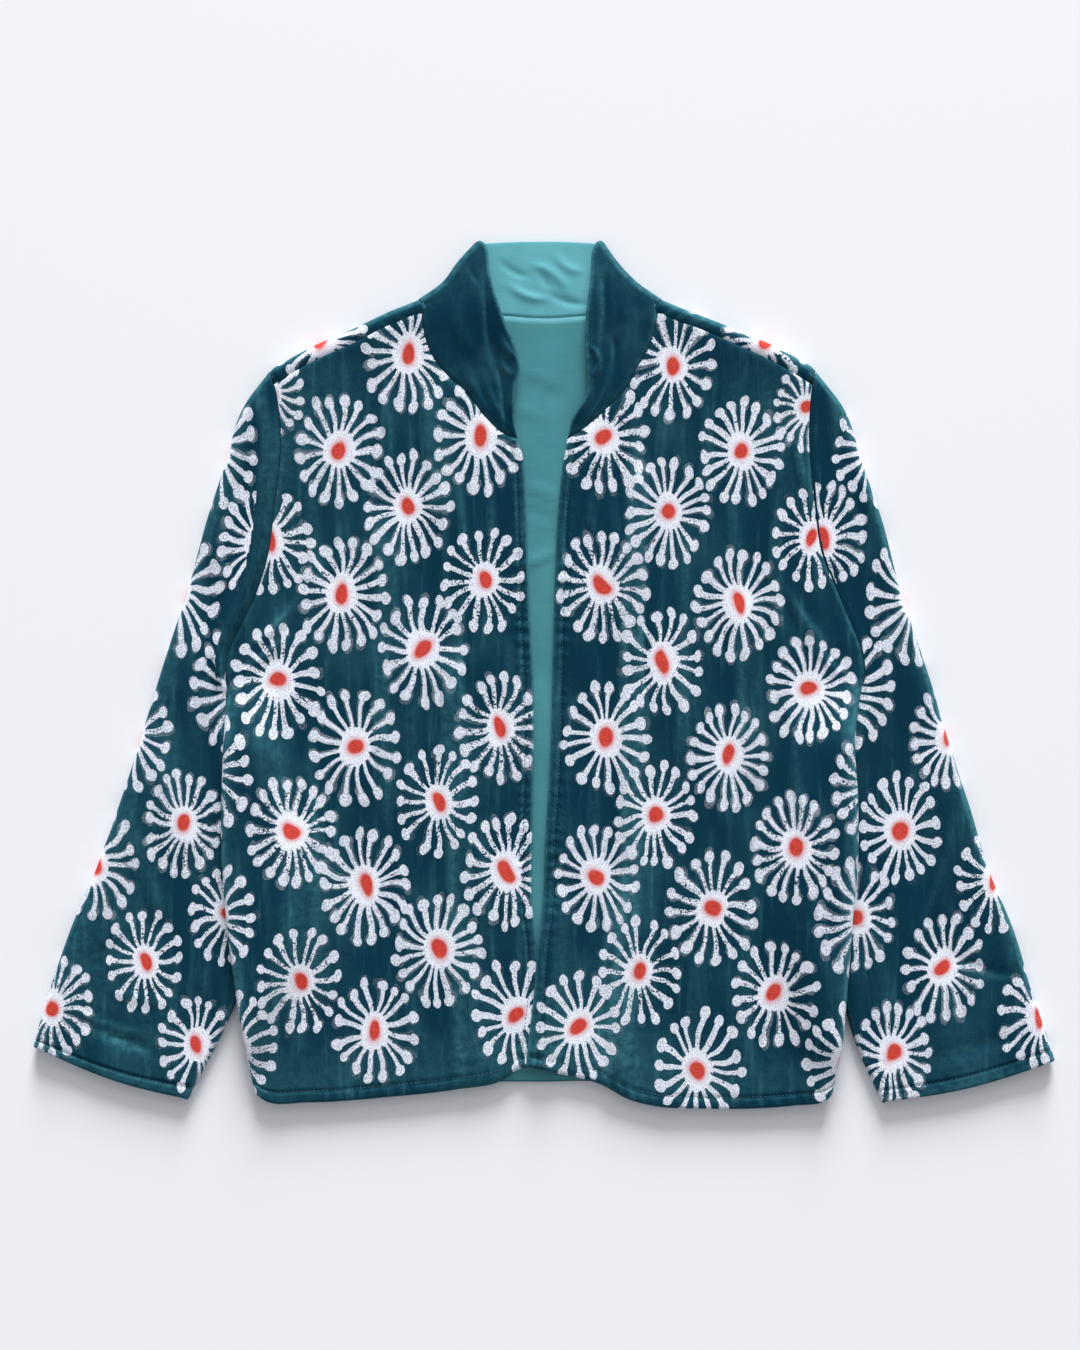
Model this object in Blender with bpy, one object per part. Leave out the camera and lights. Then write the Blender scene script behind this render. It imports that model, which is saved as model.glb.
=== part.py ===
"""Velvet jacket laid out on its back, with its sleeves beside it and partly under its sides.

The cloth is a set of walls. Each panel starts as a flat pattern piece between its edge curves and is
then laid: folded edges roll over, the sides rise over the sleeves and the main folds stand up.
Lengths are in millimetres until a mesh is made. x runs across, y from hem to collar and z up from the
surface below. Left and right are as seen from above with the collar at the top.
"""

import math
from collections import namedtuple

import bpy
import numpy as np

MM = 0.001

# Middle of the laid outline. The origin stands on the surface under it.
OUTLINE_MIDDLE = (0.5, 0.35, 0.0)

# Walls and gaps. The velvet is quilted to a thin batting, so its wall is thicker than a plain cloth.
VELVET_WALL = 3.0
LINING_WALL = 1.0
SEAM_GAP = 0.4
LINING_GAP = 0.5
ARMHOLE_GAP = 1.0

# Heights of the laid cloth above the surface.
LAY = 9.4
FOLD_RADIUS = 5.5
SLEEVE_INNER_RADIUS = 4.7
SIDE_LIFT = 10.2
FOLD_RISE_REACH = 22.0
SHOULDER_FORWARD = 8.5
SHOULDER_SLOPE = math.radians(25.0)
UNDERARM_Y = -1.6
SLEEVE_ROLL_HEIGHT = 4.5
FRONT_OVERLAP_RISE = 4.0
COLLAR_EDGE_RISE = 5.0
CUFF_BOW = 5.0
SEAM_BEND_REACH = 60.0

# Linear colours of the cloths.
VELVET_COLOUR = (0.009, 0.056, 0.090, 1.0)
LINING_COLOUR = (0.067, 0.258, 0.310, 1.0)

Level = namedtuple("Level", "y left right")
Point = namedtuple("Point", "x y")
Section = namedtuple("Section", "outer_x outer_y inner_x inner_y")
Fold = namedtuple("Fold", "start_x start_y end_x end_y reach height")

# Side seams from hem to underarm.
SIDES = [
    Level(-333, -231.5, 231),
    Level(-298, -238.5, 238),
    Level(-246, -247, 243),
    Level(-194, -253.5, 247),
    Level(-149, -257, 251),
    Level(-101, -257, 251),
    Level(-54, -255.5, 249),
    Level(-30, -254.5, 251.5),
    Level(UNDERARM_Y, -254, 257),
]

# Armhole seams from underarm to shoulder.
ARMHOLES = [
    Level(UNDERARM_Y, -254, 257),
    Level(15, -252.5, 255.5),
    Level(45, -239, 244),
    Level(69, -228, 234),
    Level(99, -219.5, 222),
    Level(126, -216, 218),
    Level(155, -212.5, 215),
    Level(185, -210, 212.5),
    Level(211, -211.5, 213),
    Level(228, -214.5, 214.5),
    Level(242, -219.5, 217.5),
]

# Front edges from hem to the end of the collar.
FRONT_EDGES = [
    Level(-314, -10.5, -14),
    Level(-298, -9.5, -12.5),
    Level(-254, -5, -7.5),
    Level(-216, -5.5, -4.5),
    Level(-185, -9, -0.5),
    Level(-133, -9, 1.5),
    Level(-69, -8, 5.5),
    Level(6, -8.5, 7.5),
    Level(51, -11, 8.5),
    Level(92, -12.5, 10),
    Level(146, -14.5, 13),
    Level(174, -16.5, 16.5),
    Level(188, -20.5, 19),
]

# Hems from the side seam to the front edge.
LEFT_HEM = [
    Point(-231.5, -333), Point(-219, -342), Point(-186, -343), Point(-120, -338.5),
    Point(-68, -332.5), Point(-32, -325), Point(-22, -318), Point(-10.5, -314),
]
RIGHT_HEM = [
    Point(231, -333), Point(223.5, -341), Point(198, -345.5), Point(164, -348), Point(128, -348),
    Point(85, -345.5), Point(68, -341), Point(46, -329), Point(7, -319), Point(-14, -314),
]
BACK_HEM = [
    Point(-231.5, -333), Point(-195, -338), Point(-115, -333.5), Point(-49, -327.5), Point(0, -327),
    Point(49, -328), Point(85, -339), Point(164, -343), Point(221, -338), Point(231, -333),
]

# Necklines from the end of the collar to the shoulder seam.
LEFT_NECKLINE = [
    Point(-20.5, 188), Point(-31.5, 192), Point(-47.5, 206.5), Point(-63, 226.5), Point(-75, 237),
    Point(-87.5, 252), Point(-95.5, 272), Point(-97.3, 289.8),
]
RIGHT_NECKLINE = [
    Point(19, 188), Point(29, 194), Point(40.5, 203), Point(53, 214.5), Point(64.5, 226),
    Point(75, 245), Point(84.5, 262), Point(89.5, 277), Point(91.7, 289.8),
]
BACK_NECK = [
    Point(-98.8, 294), Point(-75, 290.5), Point(-31, 287), Point(0, 285), Point(33, 287), Point(69, 290.5),
    Point(93.2, 294),
]

# Folds of the shoulders, from the neck to the tip.
LEFT_SHOULDER = [
    Point(-100.4, 299), Point(-125, 289.5), Point(-149, 278), Point(-191, 259.5), Point(-218, 244),
]
RIGHT_SHOULDER = [
    Point(94.8, 299), Point(119.5, 289.5), Point(155, 275.5), Point(191.5, 259.5), Point(216.5, 245),
]

# Sleeve sections from armhole to cuff. The first ones fan out from the underarm.
LEFT_SLEEVE = [
    Section(-219.5, 242, -254, UNDERARM_Y),
    Section(-240.5, 213, -254.8, -4),
    Section(-255, 168, -255.3, -8),
    Section(-270, 122, -255.6, -12),
    Section(-284, 70, -255.8, -17),
    Section(-299, 25, -256, -26),
    Section(-313, -20, -256, -42),
    Section(-327, -66, -250, -68),
    Section(-340, -105, -241, -108),
    Section(-358, -155, -231, -160),
    Section(-379, -205, -234, -225),
    Section(-395.5, -253, -250, -272),
    Section(-409, -298.5, -285, -341.5),
]
RIGHT_SLEEVE = [
    Section(217.5, 243, 257, UNDERARM_Y),
    Section(240, 213, 257.9, -4),
    Section(255.5, 168, 258.4, -8),
    Section(271.5, 122, 258.3, -12),
    Section(285, 70, 257.8, -17),
    Section(300, 25, 256, -26),
    Section(314.5, -20, 252.5, -42),
    Section(328, -66, 245, -68),
    Section(341, -105, 237, -105),
    Section(356, -155, 231, -160),
    Section(376.5, -205, 233.5, -225),
    Section(391.5, -254.5, 248, -290),
    Section(410, -309.5, 271.5, -344),
]
SLEEVE_ROLL_WIDTH = {"left": 13.0, "right": 9.0}

# Collar: the two folds, the edges that show beside the neck and the top edge at the back.
LEFT_COLLAR_FOLD = [Point(-100.4, 300), Point(-80, 315), Point(-69, 330), Point(-51.5, 349)]
RIGHT_COLLAR_FOLD = [Point(94.8, 300), Point(75, 314), Point(63, 326), Point(46, 349)]
LEFT_COLLAR_EDGE = [
    Point(-22, 193), Point(-23.5, 206), Point(-22, 232), Point(-18.8, 245), Point(-22.8, 263),
    Point(-29, 278), Point(-36.5, 298), Point(-43, 322), Point(-47.5, 345),
]
RIGHT_COLLAR_EDGE = [
    Point(20.5, 193), Point(23, 205), Point(28, 213), Point(34, 223), Point(34.8, 241), Point(33.2, 265),
    Point(34, 287), Point(38, 318), Point(42, 345),
]
COLLAR_TOP = [Point(-15.5, 346.5), Point(14, 346.5)]

# The main folds of the fronts and sleeves, as soft ridges, and troughs where the height is negative.
FOLDS = [
    Fold(78, 175, 67, -10, 8, 4.0),
    Fold(68, -5, 70, -165, 8, 4.0),
    Fold(70, -160, 56, -330, 9, 4.0),
    Fold(161, 60, 166, -90, 9, 2.0),
    Fold(120, 120, 116, -60, 10, 1.6),
    Fold(-85, 225, -83, 120, 8, 2.2),
    Fold(-74, 20, -60, -328, 10, 3.0),
    Fold(-125, 130, -118, -120, 11, 1.8),
    Fold(-180, -40, -170, -260, 12, 1.8),
    Fold(-376, -272, -318, -296, 8, -1.8),
    Fold(-300, -60, -285, -150, 12, 1.6),
    Fold(300, -60, 322, -150, 12, 1.6),
]

# Rows and columns of the panels, as shares of their edges. They lie closer where the cloth bends.
ROLL_LENGTH = 0.5 * math.pi * FOLD_RADIUS - SEAM_GAP
ROLL_COLUMNS = ROLL_LENGTH * np.array([0, 0.04, 0.28, 0.52, 0.76, 1.0])
FRONT_WIDTH = 247.0
BODY_WIDTH = 508.0
SIDE_SHARES = np.array([0, 0.04, 0.12, 0.23, 0.35, 0.48, 0.61, 0.73, 0.83, 0.92, 1.0])
ARMHOLE_SHARES = np.linspace(0, 0.955, 10)
NECKLINE_ROWS = 9
FRONT_COLUMNS = np.concatenate([ROLL_COLUMNS, np.linspace(ROLL_LENGTH, FRONT_WIDTH, 20)[1:]]) / FRONT_WIDTH
SHOULDER_SHARE = 0.30
SHOULDER_STEPS = [0.04, 0.07, 0.10, 0.14, 0.18, 0.22, 0.26, SHOULDER_SHARE]
SHOULDER_COLUMNS = np.concatenate([ROLL_COLUMNS / BODY_WIDTH, SHOULDER_STEPS])
NECK_COLUMNS = np.linspace(SHOULDER_SHARE, 1 - SHOULDER_SHARE, 9)
BACK_COLUMNS = np.concatenate([SHOULDER_COLUMNS, NECK_COLUMNS[1:-1], 1 - SHOULDER_COLUMNS[::-1]])
ROLL_TURNS = np.linspace(0, math.pi, 7)
SLEEVE_ROWS = np.array([
    0, 3, 6, 9, 12, 15, 19, 27, 40, 58, 78, 100, 125, 155, 190, 228, 268, 310, 352, 392, 425, 455,
])
TOP_SHARES = np.array([0, 0.05, 0.1, 0.15, 0.2, 0.28, 0.37, 0.46, 0.55, 0.64, 0.73, 0.82, 0.91, 1])
BOTTOM_SHARES = np.array([0, 0.05, 0.1, 0.15, 0.2, 0.3, 0.45, 0.6, 0.8, 1])
HALF_TURNS = np.linspace(0, math.pi, 6)
FLAP_SHARES = np.concatenate([np.linspace(0, 0.95, 2 * NECKLINE_ROWS - 1), [1.0]])
UP_SHARES = np.linspace(0, 1, 6)


def smooth_step(low, high, value):
    share = np.clip((value - low) / (high - low), 0.0, 1.0)
    return share * share * (3.0 - 2.0 * share)


def curve(keys, values, at):
    """Smooth curve through values that stand at rising keys."""
    keys = np.asarray(keys, float)
    values = np.asarray(values, float)
    slopes = np.gradient(values, keys, axis=0)
    at = np.clip(at, keys[0], keys[-1])
    index = np.clip(np.searchsorted(keys, at) - 1, 0, len(keys) - 2)
    step = keys[index + 1] - keys[index]
    t = (at - keys[index]) / step
    if values.ndim > 1:
        t = t[:, None]
        step = step[:, None]
    before = (1 + 2 * t) * (1 - t) ** 2 * values[index] + t * (1 - t) ** 2 * step * slopes[index]
    after = t * t * (3 - 2 * t) * values[index + 1] + t * t * (t - 1) * step * slopes[index + 1]
    return before + after


def edge(points, shares):
    """Points at these shares of the length of a smooth edge."""
    points = np.asarray([(point.x, point.y) for point in points], float)
    lengths = np.linalg.norm(np.diff(points, axis=0), axis=1)
    keys = np.concatenate([[0.0], np.cumsum(lengths)])
    return curve(keys / keys[-1], points, np.asarray(shares, float))


def level_points(levels, side):
    return [Point(getattr(level, side), level.y) for level in levels]


def patch(bottom, top, first, last, across):
    """Flat patch between four edges: bottom and top run across at these shares, first and last run up."""
    across = across[None, :, None]
    up = np.linspace(0, 1, len(first))[:, None, None]
    ruled_up = (1 - up) * bottom[None] + up * top[None]
    ruled_across = (1 - across) * first[:, None] + across * last[:, None]
    low = (1 - across) * bottom[0] + across * bottom[-1]
    high = (1 - across) * top[0] + across * top[-1]
    return ruled_up + ruled_across - (1 - up) * low - up * high


def outward(side):
    return -1.0 if side == "left" else 1.0


def shoulder_rise(x, y):
    """Extra height of the upper cloth near the folds of the shoulders."""
    rise = np.zeros_like(x)
    for table, side in ((LEFT_SHOULDER, "left"), (RIGHT_SHOULDER, "right")):
        points = sorted((point.x, point.y) for point in table)
        fold_y = curve([p[0] for p in points], [p[1] for p in points], x)
        inside = (fold_y - y) * math.cos(SHOULDER_SLOPE) - FOLD_RADIUS
        near = np.exp(-((np.maximum(inside, 0.0) / FOLD_RISE_REACH) ** 2))
        rise = np.where(outward(side) * x > 0, near, rise)
    return rise * (2 * FOLD_RADIUS - LAY)


def fold_height(x, y):
    total = np.zeros_like(x)
    for fold in FOLDS:
        run = np.array([fold.end_x - fold.start_x, fold.end_y - fold.start_y])
        length = np.linalg.norm(run)
        run = run / length
        along = (x - fold.start_x) * run[0] + (y - fold.start_y) * run[1]
        across = (x - fold.start_x) * run[1] - (y - fold.start_y) * run[0]
        ends = smooth_step(-15, 25, along) * smooth_step(length + 15, length - 25, along)
        total += fold.height * ends * np.exp(-((across / fold.reach) ** 2))
    return total


def upper_height(x, y):
    return LAY + shoulder_rise(x, y) + fold_height(x, y)


def side_lift(x, y, side):
    """How far the sleeve underneath raises the body near its side."""
    sections = LEFT_SLEEVE if side == "left" else RIGHT_SLEEVE
    rows = sorted((section.inner_y, section.inner_x) for section in sections)
    sleeve_x = curve([row[0] for row in rows], [row[1] for row in rows], y)
    inside = outward(side) * (sleeve_x - x)
    from_underarm = smooth_step(UNDERARM_Y - 2, UNDERARM_Y - 34, y)
    to_hem = 1 - 0.8 * smooth_step(-290, -338, y)
    return SIDE_LIFT * smooth_step(60, 14, inside) * from_underarm * to_hem


def side_turn(y):
    """Angle through which a side edge rolls: a quarter turn at the side seam and none at the armhole."""
    return 0.5 * math.pi * smooth_step(UNDERARM_Y + 4, UNDERARM_Y - 26, y) + 1e-4


def rolled(distance, turn):
    """How far inwards a point of the roll moves and how far it drops, by its distance from the edge."""
    past = np.maximum(ROLL_LENGTH - distance, 0.0)
    radius = ROLL_LENGTH / turn
    return past - radius * np.sin(past / radius), radius * (1 - np.cos(past / radius))


def flat_side(side, shares_side, shares_armhole):
    """Side and armhole edge of a flat pattern piece, with the cloth of the roll let out."""
    lower = edge(level_points(SIDES, side), shares_side)
    upper = armhole(side, shares_armhole)
    whole = np.concatenate([lower, upper[1:]])
    turn = side_turn(whole[:, 1])
    whole[:, 0] += outward(side) * (ROLL_LENGTH - ROLL_LENGTH / turn * np.sin(turn))
    return whole


def inset(points, distance):
    """A line of points moved to the left of its run."""
    run = np.gradient(points, axis=0)
    run /= np.linalg.norm(run, axis=1)[:, None]
    return points + distance * np.column_stack([-run[:, 1], run[:, 0]])


def shoulder_edge(side, shares, inwards):
    """The fold of a shoulder from tip to neck, moved inwards across the slope."""
    table = LEFT_SHOULDER if side == "left" else RIGHT_SHOULDER
    fold = edge(table[::-1], shares)
    return fold + inwards * np.array([-outward(side) * math.sin(SHOULDER_SLOPE), -math.cos(SHOULDER_SLOPE)])


def material(name, colour, roughness):
    cloth = bpy.data.materials.new(name)
    cloth.use_nodes = True
    shader = cloth.node_tree.nodes["Principled BSDF"]
    shader.inputs["Base Color"].default_value = colour
    shader.inputs["Roughness"].default_value = roughness
    shader.inputs["Sheen Weight"].default_value = 0.3
    return cloth


def cloth_wall(name, grid, wall, cloth, keep=None, ring=False, turned=False):
    """A wall of cloth under a grid of outer points, or over it where the grid is turned face down."""
    rows, columns = grid.shape[:2]
    faces = []
    for i in range(rows - 1):
        for j in range(columns if ring else columns - 1):
            if keep is not None and not keep[i, j]:
                continue
            k = (j + 1) % columns
            first = i * columns + j
            second = i * columns + k
            third = second + columns
            fourth = first + columns
            faces += [(first, second, third), (first, third, fourth)]
    if turned:
        faces = [face[::-1] for face in faces]
    used = sorted({corner for face in faces for corner in face})
    place = {corner: index for index, corner in enumerate(used)}
    mesh = bpy.data.meshes.new(name)
    points = (grid.reshape(-1, 3)[used] - OUTLINE_MIDDLE) * MM
    mesh.from_pydata(points.tolist(), [], [[place[corner] for corner in face] for face in faces])
    mesh.materials.append(cloth)
    panel = bpy.data.objects.new(name, mesh)
    bpy.context.scene.collection.objects.link(panel)
    thicken = panel.modifiers.new("wall", "SOLIDIFY")
    thicken.thickness = wall * MM
    thicken.offset = -1.0
    return panel


def raised(points, distance):
    """A grid of points moved along its own normals."""
    run_up = np.gradient(points, axis=0)
    run_across = np.gradient(points, axis=1)
    normal = np.cross(run_across, run_up)
    normal /= np.linalg.norm(normal, axis=2)[..., None]
    return points + distance * normal


def front(side, cloth):
    """One front: hem, side and armhole, shoulder seam, front edge and neckline."""
    hem_table = LEFT_HEM if side == "left" else RIGHT_HEM
    neck_table = LEFT_NECKLINE if side == "left" else RIGHT_NECKLINE
    outer = flat_side(side, SIDE_SHARES, ARMHOLE_SHARES)
    edge_rows = len(outer) - NECKLINE_ROWS + 1
    front_edge = edge(level_points(FRONT_EDGES, side), np.linspace(0, 1, edge_rows))
    neckline = edge(neck_table, np.linspace(0, 1, NECKLINE_ROWS))
    inner = np.concatenate([front_edge, neckline[1:]])
    hem = edge(hem_table, FRONT_COLUMNS)
    hem += (1 - FRONT_COLUMNS)[:, None] * (outer[0] - hem[0])
    seam = shoulder_edge(side, FRONT_COLUMNS, SHOULDER_FORWARD)
    to_tip = outer[-1] - seam[0]
    to_neck = inner[-1] - seam[-1]
    seam += (1 - FRONT_COLUMNS)[:, None] * to_tip + FRONT_COLUMNS[:, None] * to_neck
    flat = patch(hem, seam, outer, inner, FRONT_COLUMNS)
    from_edge = np.linalg.norm(flat - flat[:, :1], axis=2)
    turn = side_turn(flat[:, :1, 1])
    inward, drop = rolled(from_edge, turn)
    x = flat[..., 0] - outward(side) * inward
    y = flat[..., 1]
    puff = (2 * FOLD_RADIUS - LAY) * turn / (0.5 * math.pi)
    near = np.exp(-((np.maximum(from_edge - ROLL_LENGTH, 0.0) / FOLD_RISE_REACH) ** 2))
    z = upper_height(x, y) + side_lift(x, y, side) + puff * near - drop
    if side == "right":
        to_edge = np.linalg.norm(flat - flat[:, -1:], axis=2)
        z += FRONT_OVERLAP_RISE * smooth_step(34, 12, to_edge) * smooth_step(-165, -205, y)
    grid = np.stack([x, y, z], axis=2)
    return cloth_wall(f"front_{side}", grid, VELVET_WALL, cloth, turned=side == "right")


def back_points():
    """Outer points of the back, with the rows that go over the shoulders, and which cells are kept."""
    outer = {side: flat_side(side, SIDE_SHARES, ARMHOLE_SHARES) for side in ("left", "right")}
    shoulder = len(SHOULDER_COLUMNS)
    neck = edge(BACK_NECK, np.linspace(0, 1, len(NECK_COLUMNS)))
    shares = SHOULDER_COLUMNS / SHOULDER_SHARE
    starts = {side: shoulder_edge(side, shares, FOLD_RADIUS) for side in ("left", "right")}
    for side in ("left", "right"):
        outer[side][-1] = starts[side][0]
    starts["left"][-1] = neck[0]
    starts["right"][-1] = neck[-1]
    top = np.concatenate([starts["left"], neck[1:-1], starts["right"][::-1]])
    columns = len(top)
    hem = edge(BACK_HEM, BACK_COLUMNS)
    hem += (1 - BACK_COLUMNS)[:, None] * (outer["left"][0] - hem[0])
    hem += BACK_COLUMNS[:, None] * (outer["right"][0] - hem[-1])
    flat = patch(hem, top, outer["left"], outer["right"], BACK_COLUMNS)
    x = flat[..., 0].copy()
    y = flat[..., 1]
    z = np.zeros_like(x)
    for side, column in (("left", 0), ("right", -1)):
        from_edge = np.abs(flat[..., 0] - flat[:, [column], 0])
        inward, rise = rolled(from_edge, side_turn(flat[:, [column], 1]))
        x -= outward(side) * inward
        z += rise + side_lift(x, y, side)
    laid = np.stack([x, y, z], axis=2)
    over = np.repeat(laid[-1:], len(ROLL_TURNS), axis=0)
    for side, chosen in (("left", slice(0, shoulder)), ("right", slice(columns - shoulder, columns))):
        out = np.array([outward(side) * math.sin(SHOULDER_SLOPE), math.cos(SHOULDER_SLOPE)])
        for row, turn in enumerate(ROLL_TURNS):
            over[row, chosen, :2] = laid[-1, chosen, :2] + FOLD_RADIUS * math.sin(turn) * out
            over[row, chosen, 2] = FOLD_RADIUS * (1 - math.cos(turn))
        last = laid[-1:, chosen].copy()
        last[..., :2] -= (SHOULDER_FORWARD - FOLD_RADIUS - SEAM_GAP) * out
        last[..., 2] = upper_height(last[..., 0], last[..., 1])
        over[-1, chosen] = last
    grid = np.concatenate([laid, over[1:]])
    keep = np.ones((len(grid) - 1, columns - 1), bool)
    keep[len(laid) - 1:, shoulder - 1:columns - shoulder] = False
    return grid, keep, len(laid)


def back(cloth):
    grid, keep, _ = back_points()
    return cloth_wall("back", grid, VELVET_WALL, cloth, keep, turned=True)


def back_lining(cloth):
    """Lining over the inside of the back, up to the neck seam and clear of the side rolls."""
    grid, _, flat_rows = back_points()
    columns = grid.shape[1]
    inside = raised(grid[:flat_rows], VELVET_WALL + LINING_GAP + LINING_WALL)[:, 6:columns - 6]
    inside[0, :, 1] += 1.5
    inside[-1, :, 1] -= 0.8
    return cloth_wall("back_lining", inside, LINING_WALL, cloth)


def armhole(side, shares):
    """Points of the armhole seam, on the straight steps between the rows of the panels that meet there."""
    knots = np.append(ARMHOLE_SHARES, 1.0)
    points = edge(level_points(ARMHOLES, side), knots)
    return np.column_stack([np.interp(shares, knots, points[:, axis]) for axis in (0, 1)])


def armhole_x(side, y):
    return curve([level.y for level in ARMHOLES], [getattr(level, side) for level in ARMHOLES], y)


def across_edge(points, side, first):
    """Unit directions out of the jacket across a sleeve edge. At the armhole they run along the first one."""
    run = np.gradient(points, axis=0)
    square = outward(side) * np.column_stack([-run[:, 1], run[:, 0]])
    square /= np.linalg.norm(square, axis=1)[:, None]
    distance = np.concatenate([[0], np.cumsum(np.linalg.norm(np.diff(points, axis=0), axis=1))])
    share = smooth_step(0, 30, distance)[:, None]
    blend = (1 - share) * np.asarray(first) + share * square
    return blend / np.linalg.norm(blend, axis=1)[:, None]


def sleeve_edges(side):
    """Inner and outer edge of a sleeve at its rows, and how far along its middle each row is."""
    table = LEFT_SLEEVE if side == "left" else RIGHT_SLEEVE
    outer = np.array([(row.outer_x, row.outer_y) for row in table], float)
    inner = np.array([(row.inner_x, row.inner_y) for row in table], float)
    middle = 0.5 * (outer + inner)
    keys = np.concatenate([[0], np.cumsum(np.linalg.norm(np.diff(middle, axis=0), axis=1))])
    rows = SLEEVE_ROWS / SLEEVE_ROWS[-1] * keys[-1]
    return curve(keys, inner, rows), curve(keys, outer, rows), rows


def sleeve(side, cloth):
    """One sleeve: a flattened tube from armhole to cuff, with a roll of cloth beside the armhole."""
    inner, outer, rows = sleeve_edges(side)
    shoulder = [outward(side) * math.sin(SHOULDER_SLOPE), math.cos(SHOULDER_SLOPE)]
    into = across_edge(inner, side, (0.0, 1.0))
    out = across_edge(outer, side, shoulder)
    starts = inner + SLEEVE_INNER_RADIUS * into
    ends = outer - FOLD_RADIUS * out
    seam_length = np.linalg.norm(outer[0] - inner[0])
    seam_from = SLEEVE_INNER_RADIUS / seam_length
    seam_to = 1 - FOLD_RADIUS / seam_length
    rings = []
    for k, row in enumerate(rows):
        parts = []
        for shares in (TOP_SHARES, BOTTOM_SHARES):
            plan = starts[k] + shares[:, None] * (ends[k] - starts[k])
            seam = armhole(side, seam_from + shares * (seam_to - seam_from))
            straight = starts[0] + shares[:, None] * (ends[0] - starts[0])
            plan += (seam - straight) * smooth_step(SEAM_BEND_REACH, 0, row)
            plan[:, 0] += outward(side) * ARMHOLE_GAP * smooth_step(120, 0, row)
            plan[:, 1] -= CUFF_BOW * np.sin(math.pi * shares) * smooth_step(rows[-1] - 70, rows[-1], row)
            parts.append(plan)
        top, bottom = parts
        x, y = top[:, 0], top[:, 1]
        from_fold = np.linalg.norm(top - ends[k], axis=1)
        near = np.exp(-((from_fold / FOLD_RISE_REACH) ** 2))
        height = LAY + (2 * FOLD_RADIUS - LAY) * near + fold_height(x, y)
        beside = outward(side) * (x - armhole_x(side, y)) / SLEEVE_ROLL_WIDTH[side]
        crest = smooth_step(0, 0.4, beside) * smooth_step(1.2, 0.8, beside)
        crest *= smooth_step(1.0, 0.72, TOP_SHARES) * smooth_step(UNDERARM_Y - 16, UNDERARM_Y + 4, y)
        height += SLEEVE_ROLL_HEIGHT * crest
        turns = HALF_TURNS[1:-1]
        outer_plan = top[-1] + FOLD_RADIUS * np.sin(turns)[:, None] * out[k]
        inner_plan = top[0] - SLEEVE_INNER_RADIUS * np.sin(turns)[:, None] * into[k]
        rings.append(np.concatenate([
            np.column_stack([top, height]),
            np.column_stack([outer_plan, FOLD_RADIUS * (1 + np.cos(turns))]),
            np.column_stack([bottom[::-1], np.zeros(len(bottom))]),
            np.column_stack([inner_plan, SLEEVE_INNER_RADIUS * (1 - np.cos(turns))]),
        ]))
    grid = np.stack(rings)
    return cloth_wall(f"sleeve_{side}", grid, VELVET_WALL, cloth, ring=True, turned=side == "right")


def between(points):
    """A line of points with a point added in the middle of each step."""
    keys = np.arange(0, len(points) - 0.75, 0.5)
    return np.column_stack([np.interp(keys, np.arange(len(points)), points[:, axis]) for axis in (0, 1)])


def collar_flap(side):
    """Upper points of the collar's front part, from its front end to its fold, seam to free edge."""
    neck_table = LEFT_NECKLINE if side == "left" else RIGHT_NECKLINE
    edge_table = LEFT_COLLAR_EDGE if side == "left" else RIGHT_COLLAR_EDGE
    fold = fold_start(side)
    seam = inset(between(edge(neck_table, np.linspace(0, 1, NECKLINE_ROWS))), outward(side) * SEAM_GAP)
    seam[0, 1] += SEAM_GAP
    seam = np.concatenate([seam, fold[:1]])
    free = edge(edge_table + [Point(*fold[-1])], FLAP_SHARES)
    plan = seam[None] + UP_SHARES[:, None, None] * (free - seam)[None]
    straight = fold[0] + UP_SHARES[:, None] * (fold[-1] - fold[0])
    plan += (fold - straight)[:, None] * FLAP_SHARES[None, :, None] ** 2
    x, y = plan[..., 0], plan[..., 1]
    along = FLAP_SHARES[None]
    up = UP_SHARES[:, None]
    z = upper_height(x, y)
    z = z + (2 * FOLD_RADIUS - z) * smooth_step(0.75, 1.0, along)
    z += COLLAR_EDGE_RISE * up * up * smooth_step(0, 0.2, along) * smooth_step(1.0, 0.7, along)
    return np.stack([x, y, z], axis=2)


def collar_fold(side):
    return edge(LEFT_COLLAR_FOLD if side == "left" else RIGHT_COLLAR_FOLD, UP_SHARES)


def fold_inward(side):
    """Direction in plan from the collar's fold to its inside."""
    line = collar_fold(side)
    run = (line[-1] - line[0]) / np.linalg.norm(line[-1] - line[0])
    return -outward(side) * np.array([run[1], -run[0]])


def fold_start(side):
    """Where the collar's fold starts to roll, from the seam to the top edge."""
    return collar_fold(side) + FOLD_RADIUS * fold_inward(side)


def collar_roll(side):
    """Points round the collar's fold, from the upper part to the part underneath."""
    columns = []
    for turn in HALF_TURNS[1:-1]:
        plan = collar_fold(side) + FOLD_RADIUS * (1 - math.sin(turn)) * fold_inward(side)
        columns.append(np.column_stack([plan, np.full(len(plan), FOLD_RADIUS * (1 + math.cos(turn)))]))
    return np.stack(columns, axis=1)


def collar_back():
    """Lower points of the collar's back part, lying on the surface, from left fold to right fold."""
    shares = np.linspace(0, 1, 2 * len(NECK_COLUMNS) - 1)
    left = fold_start("left")
    right = fold_start("right")
    seam = between(edge(BACK_NECK, np.linspace(0, 1, len(NECK_COLUMNS))))
    seam[:, 1] += SEAM_GAP
    seam[0] = left[0]
    seam[-1] = right[0]
    top = edge([Point(*left[-1])] + COLLAR_TOP + [Point(*right[-1])], shares)
    plan = patch(seam, top, left, right, shares)
    return np.concatenate([plan, np.zeros(plan.shape[:2] + (1,))], axis=2)


def collar(cloth):
    band = [
        collar_flap("left"), collar_roll("left"), collar_back(),
        collar_roll("right")[:, ::-1], collar_flap("right")[:, ::-1],
    ]
    return cloth_wall("collar", np.concatenate(band, axis=1), VELVET_WALL, cloth, turned=True)


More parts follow.
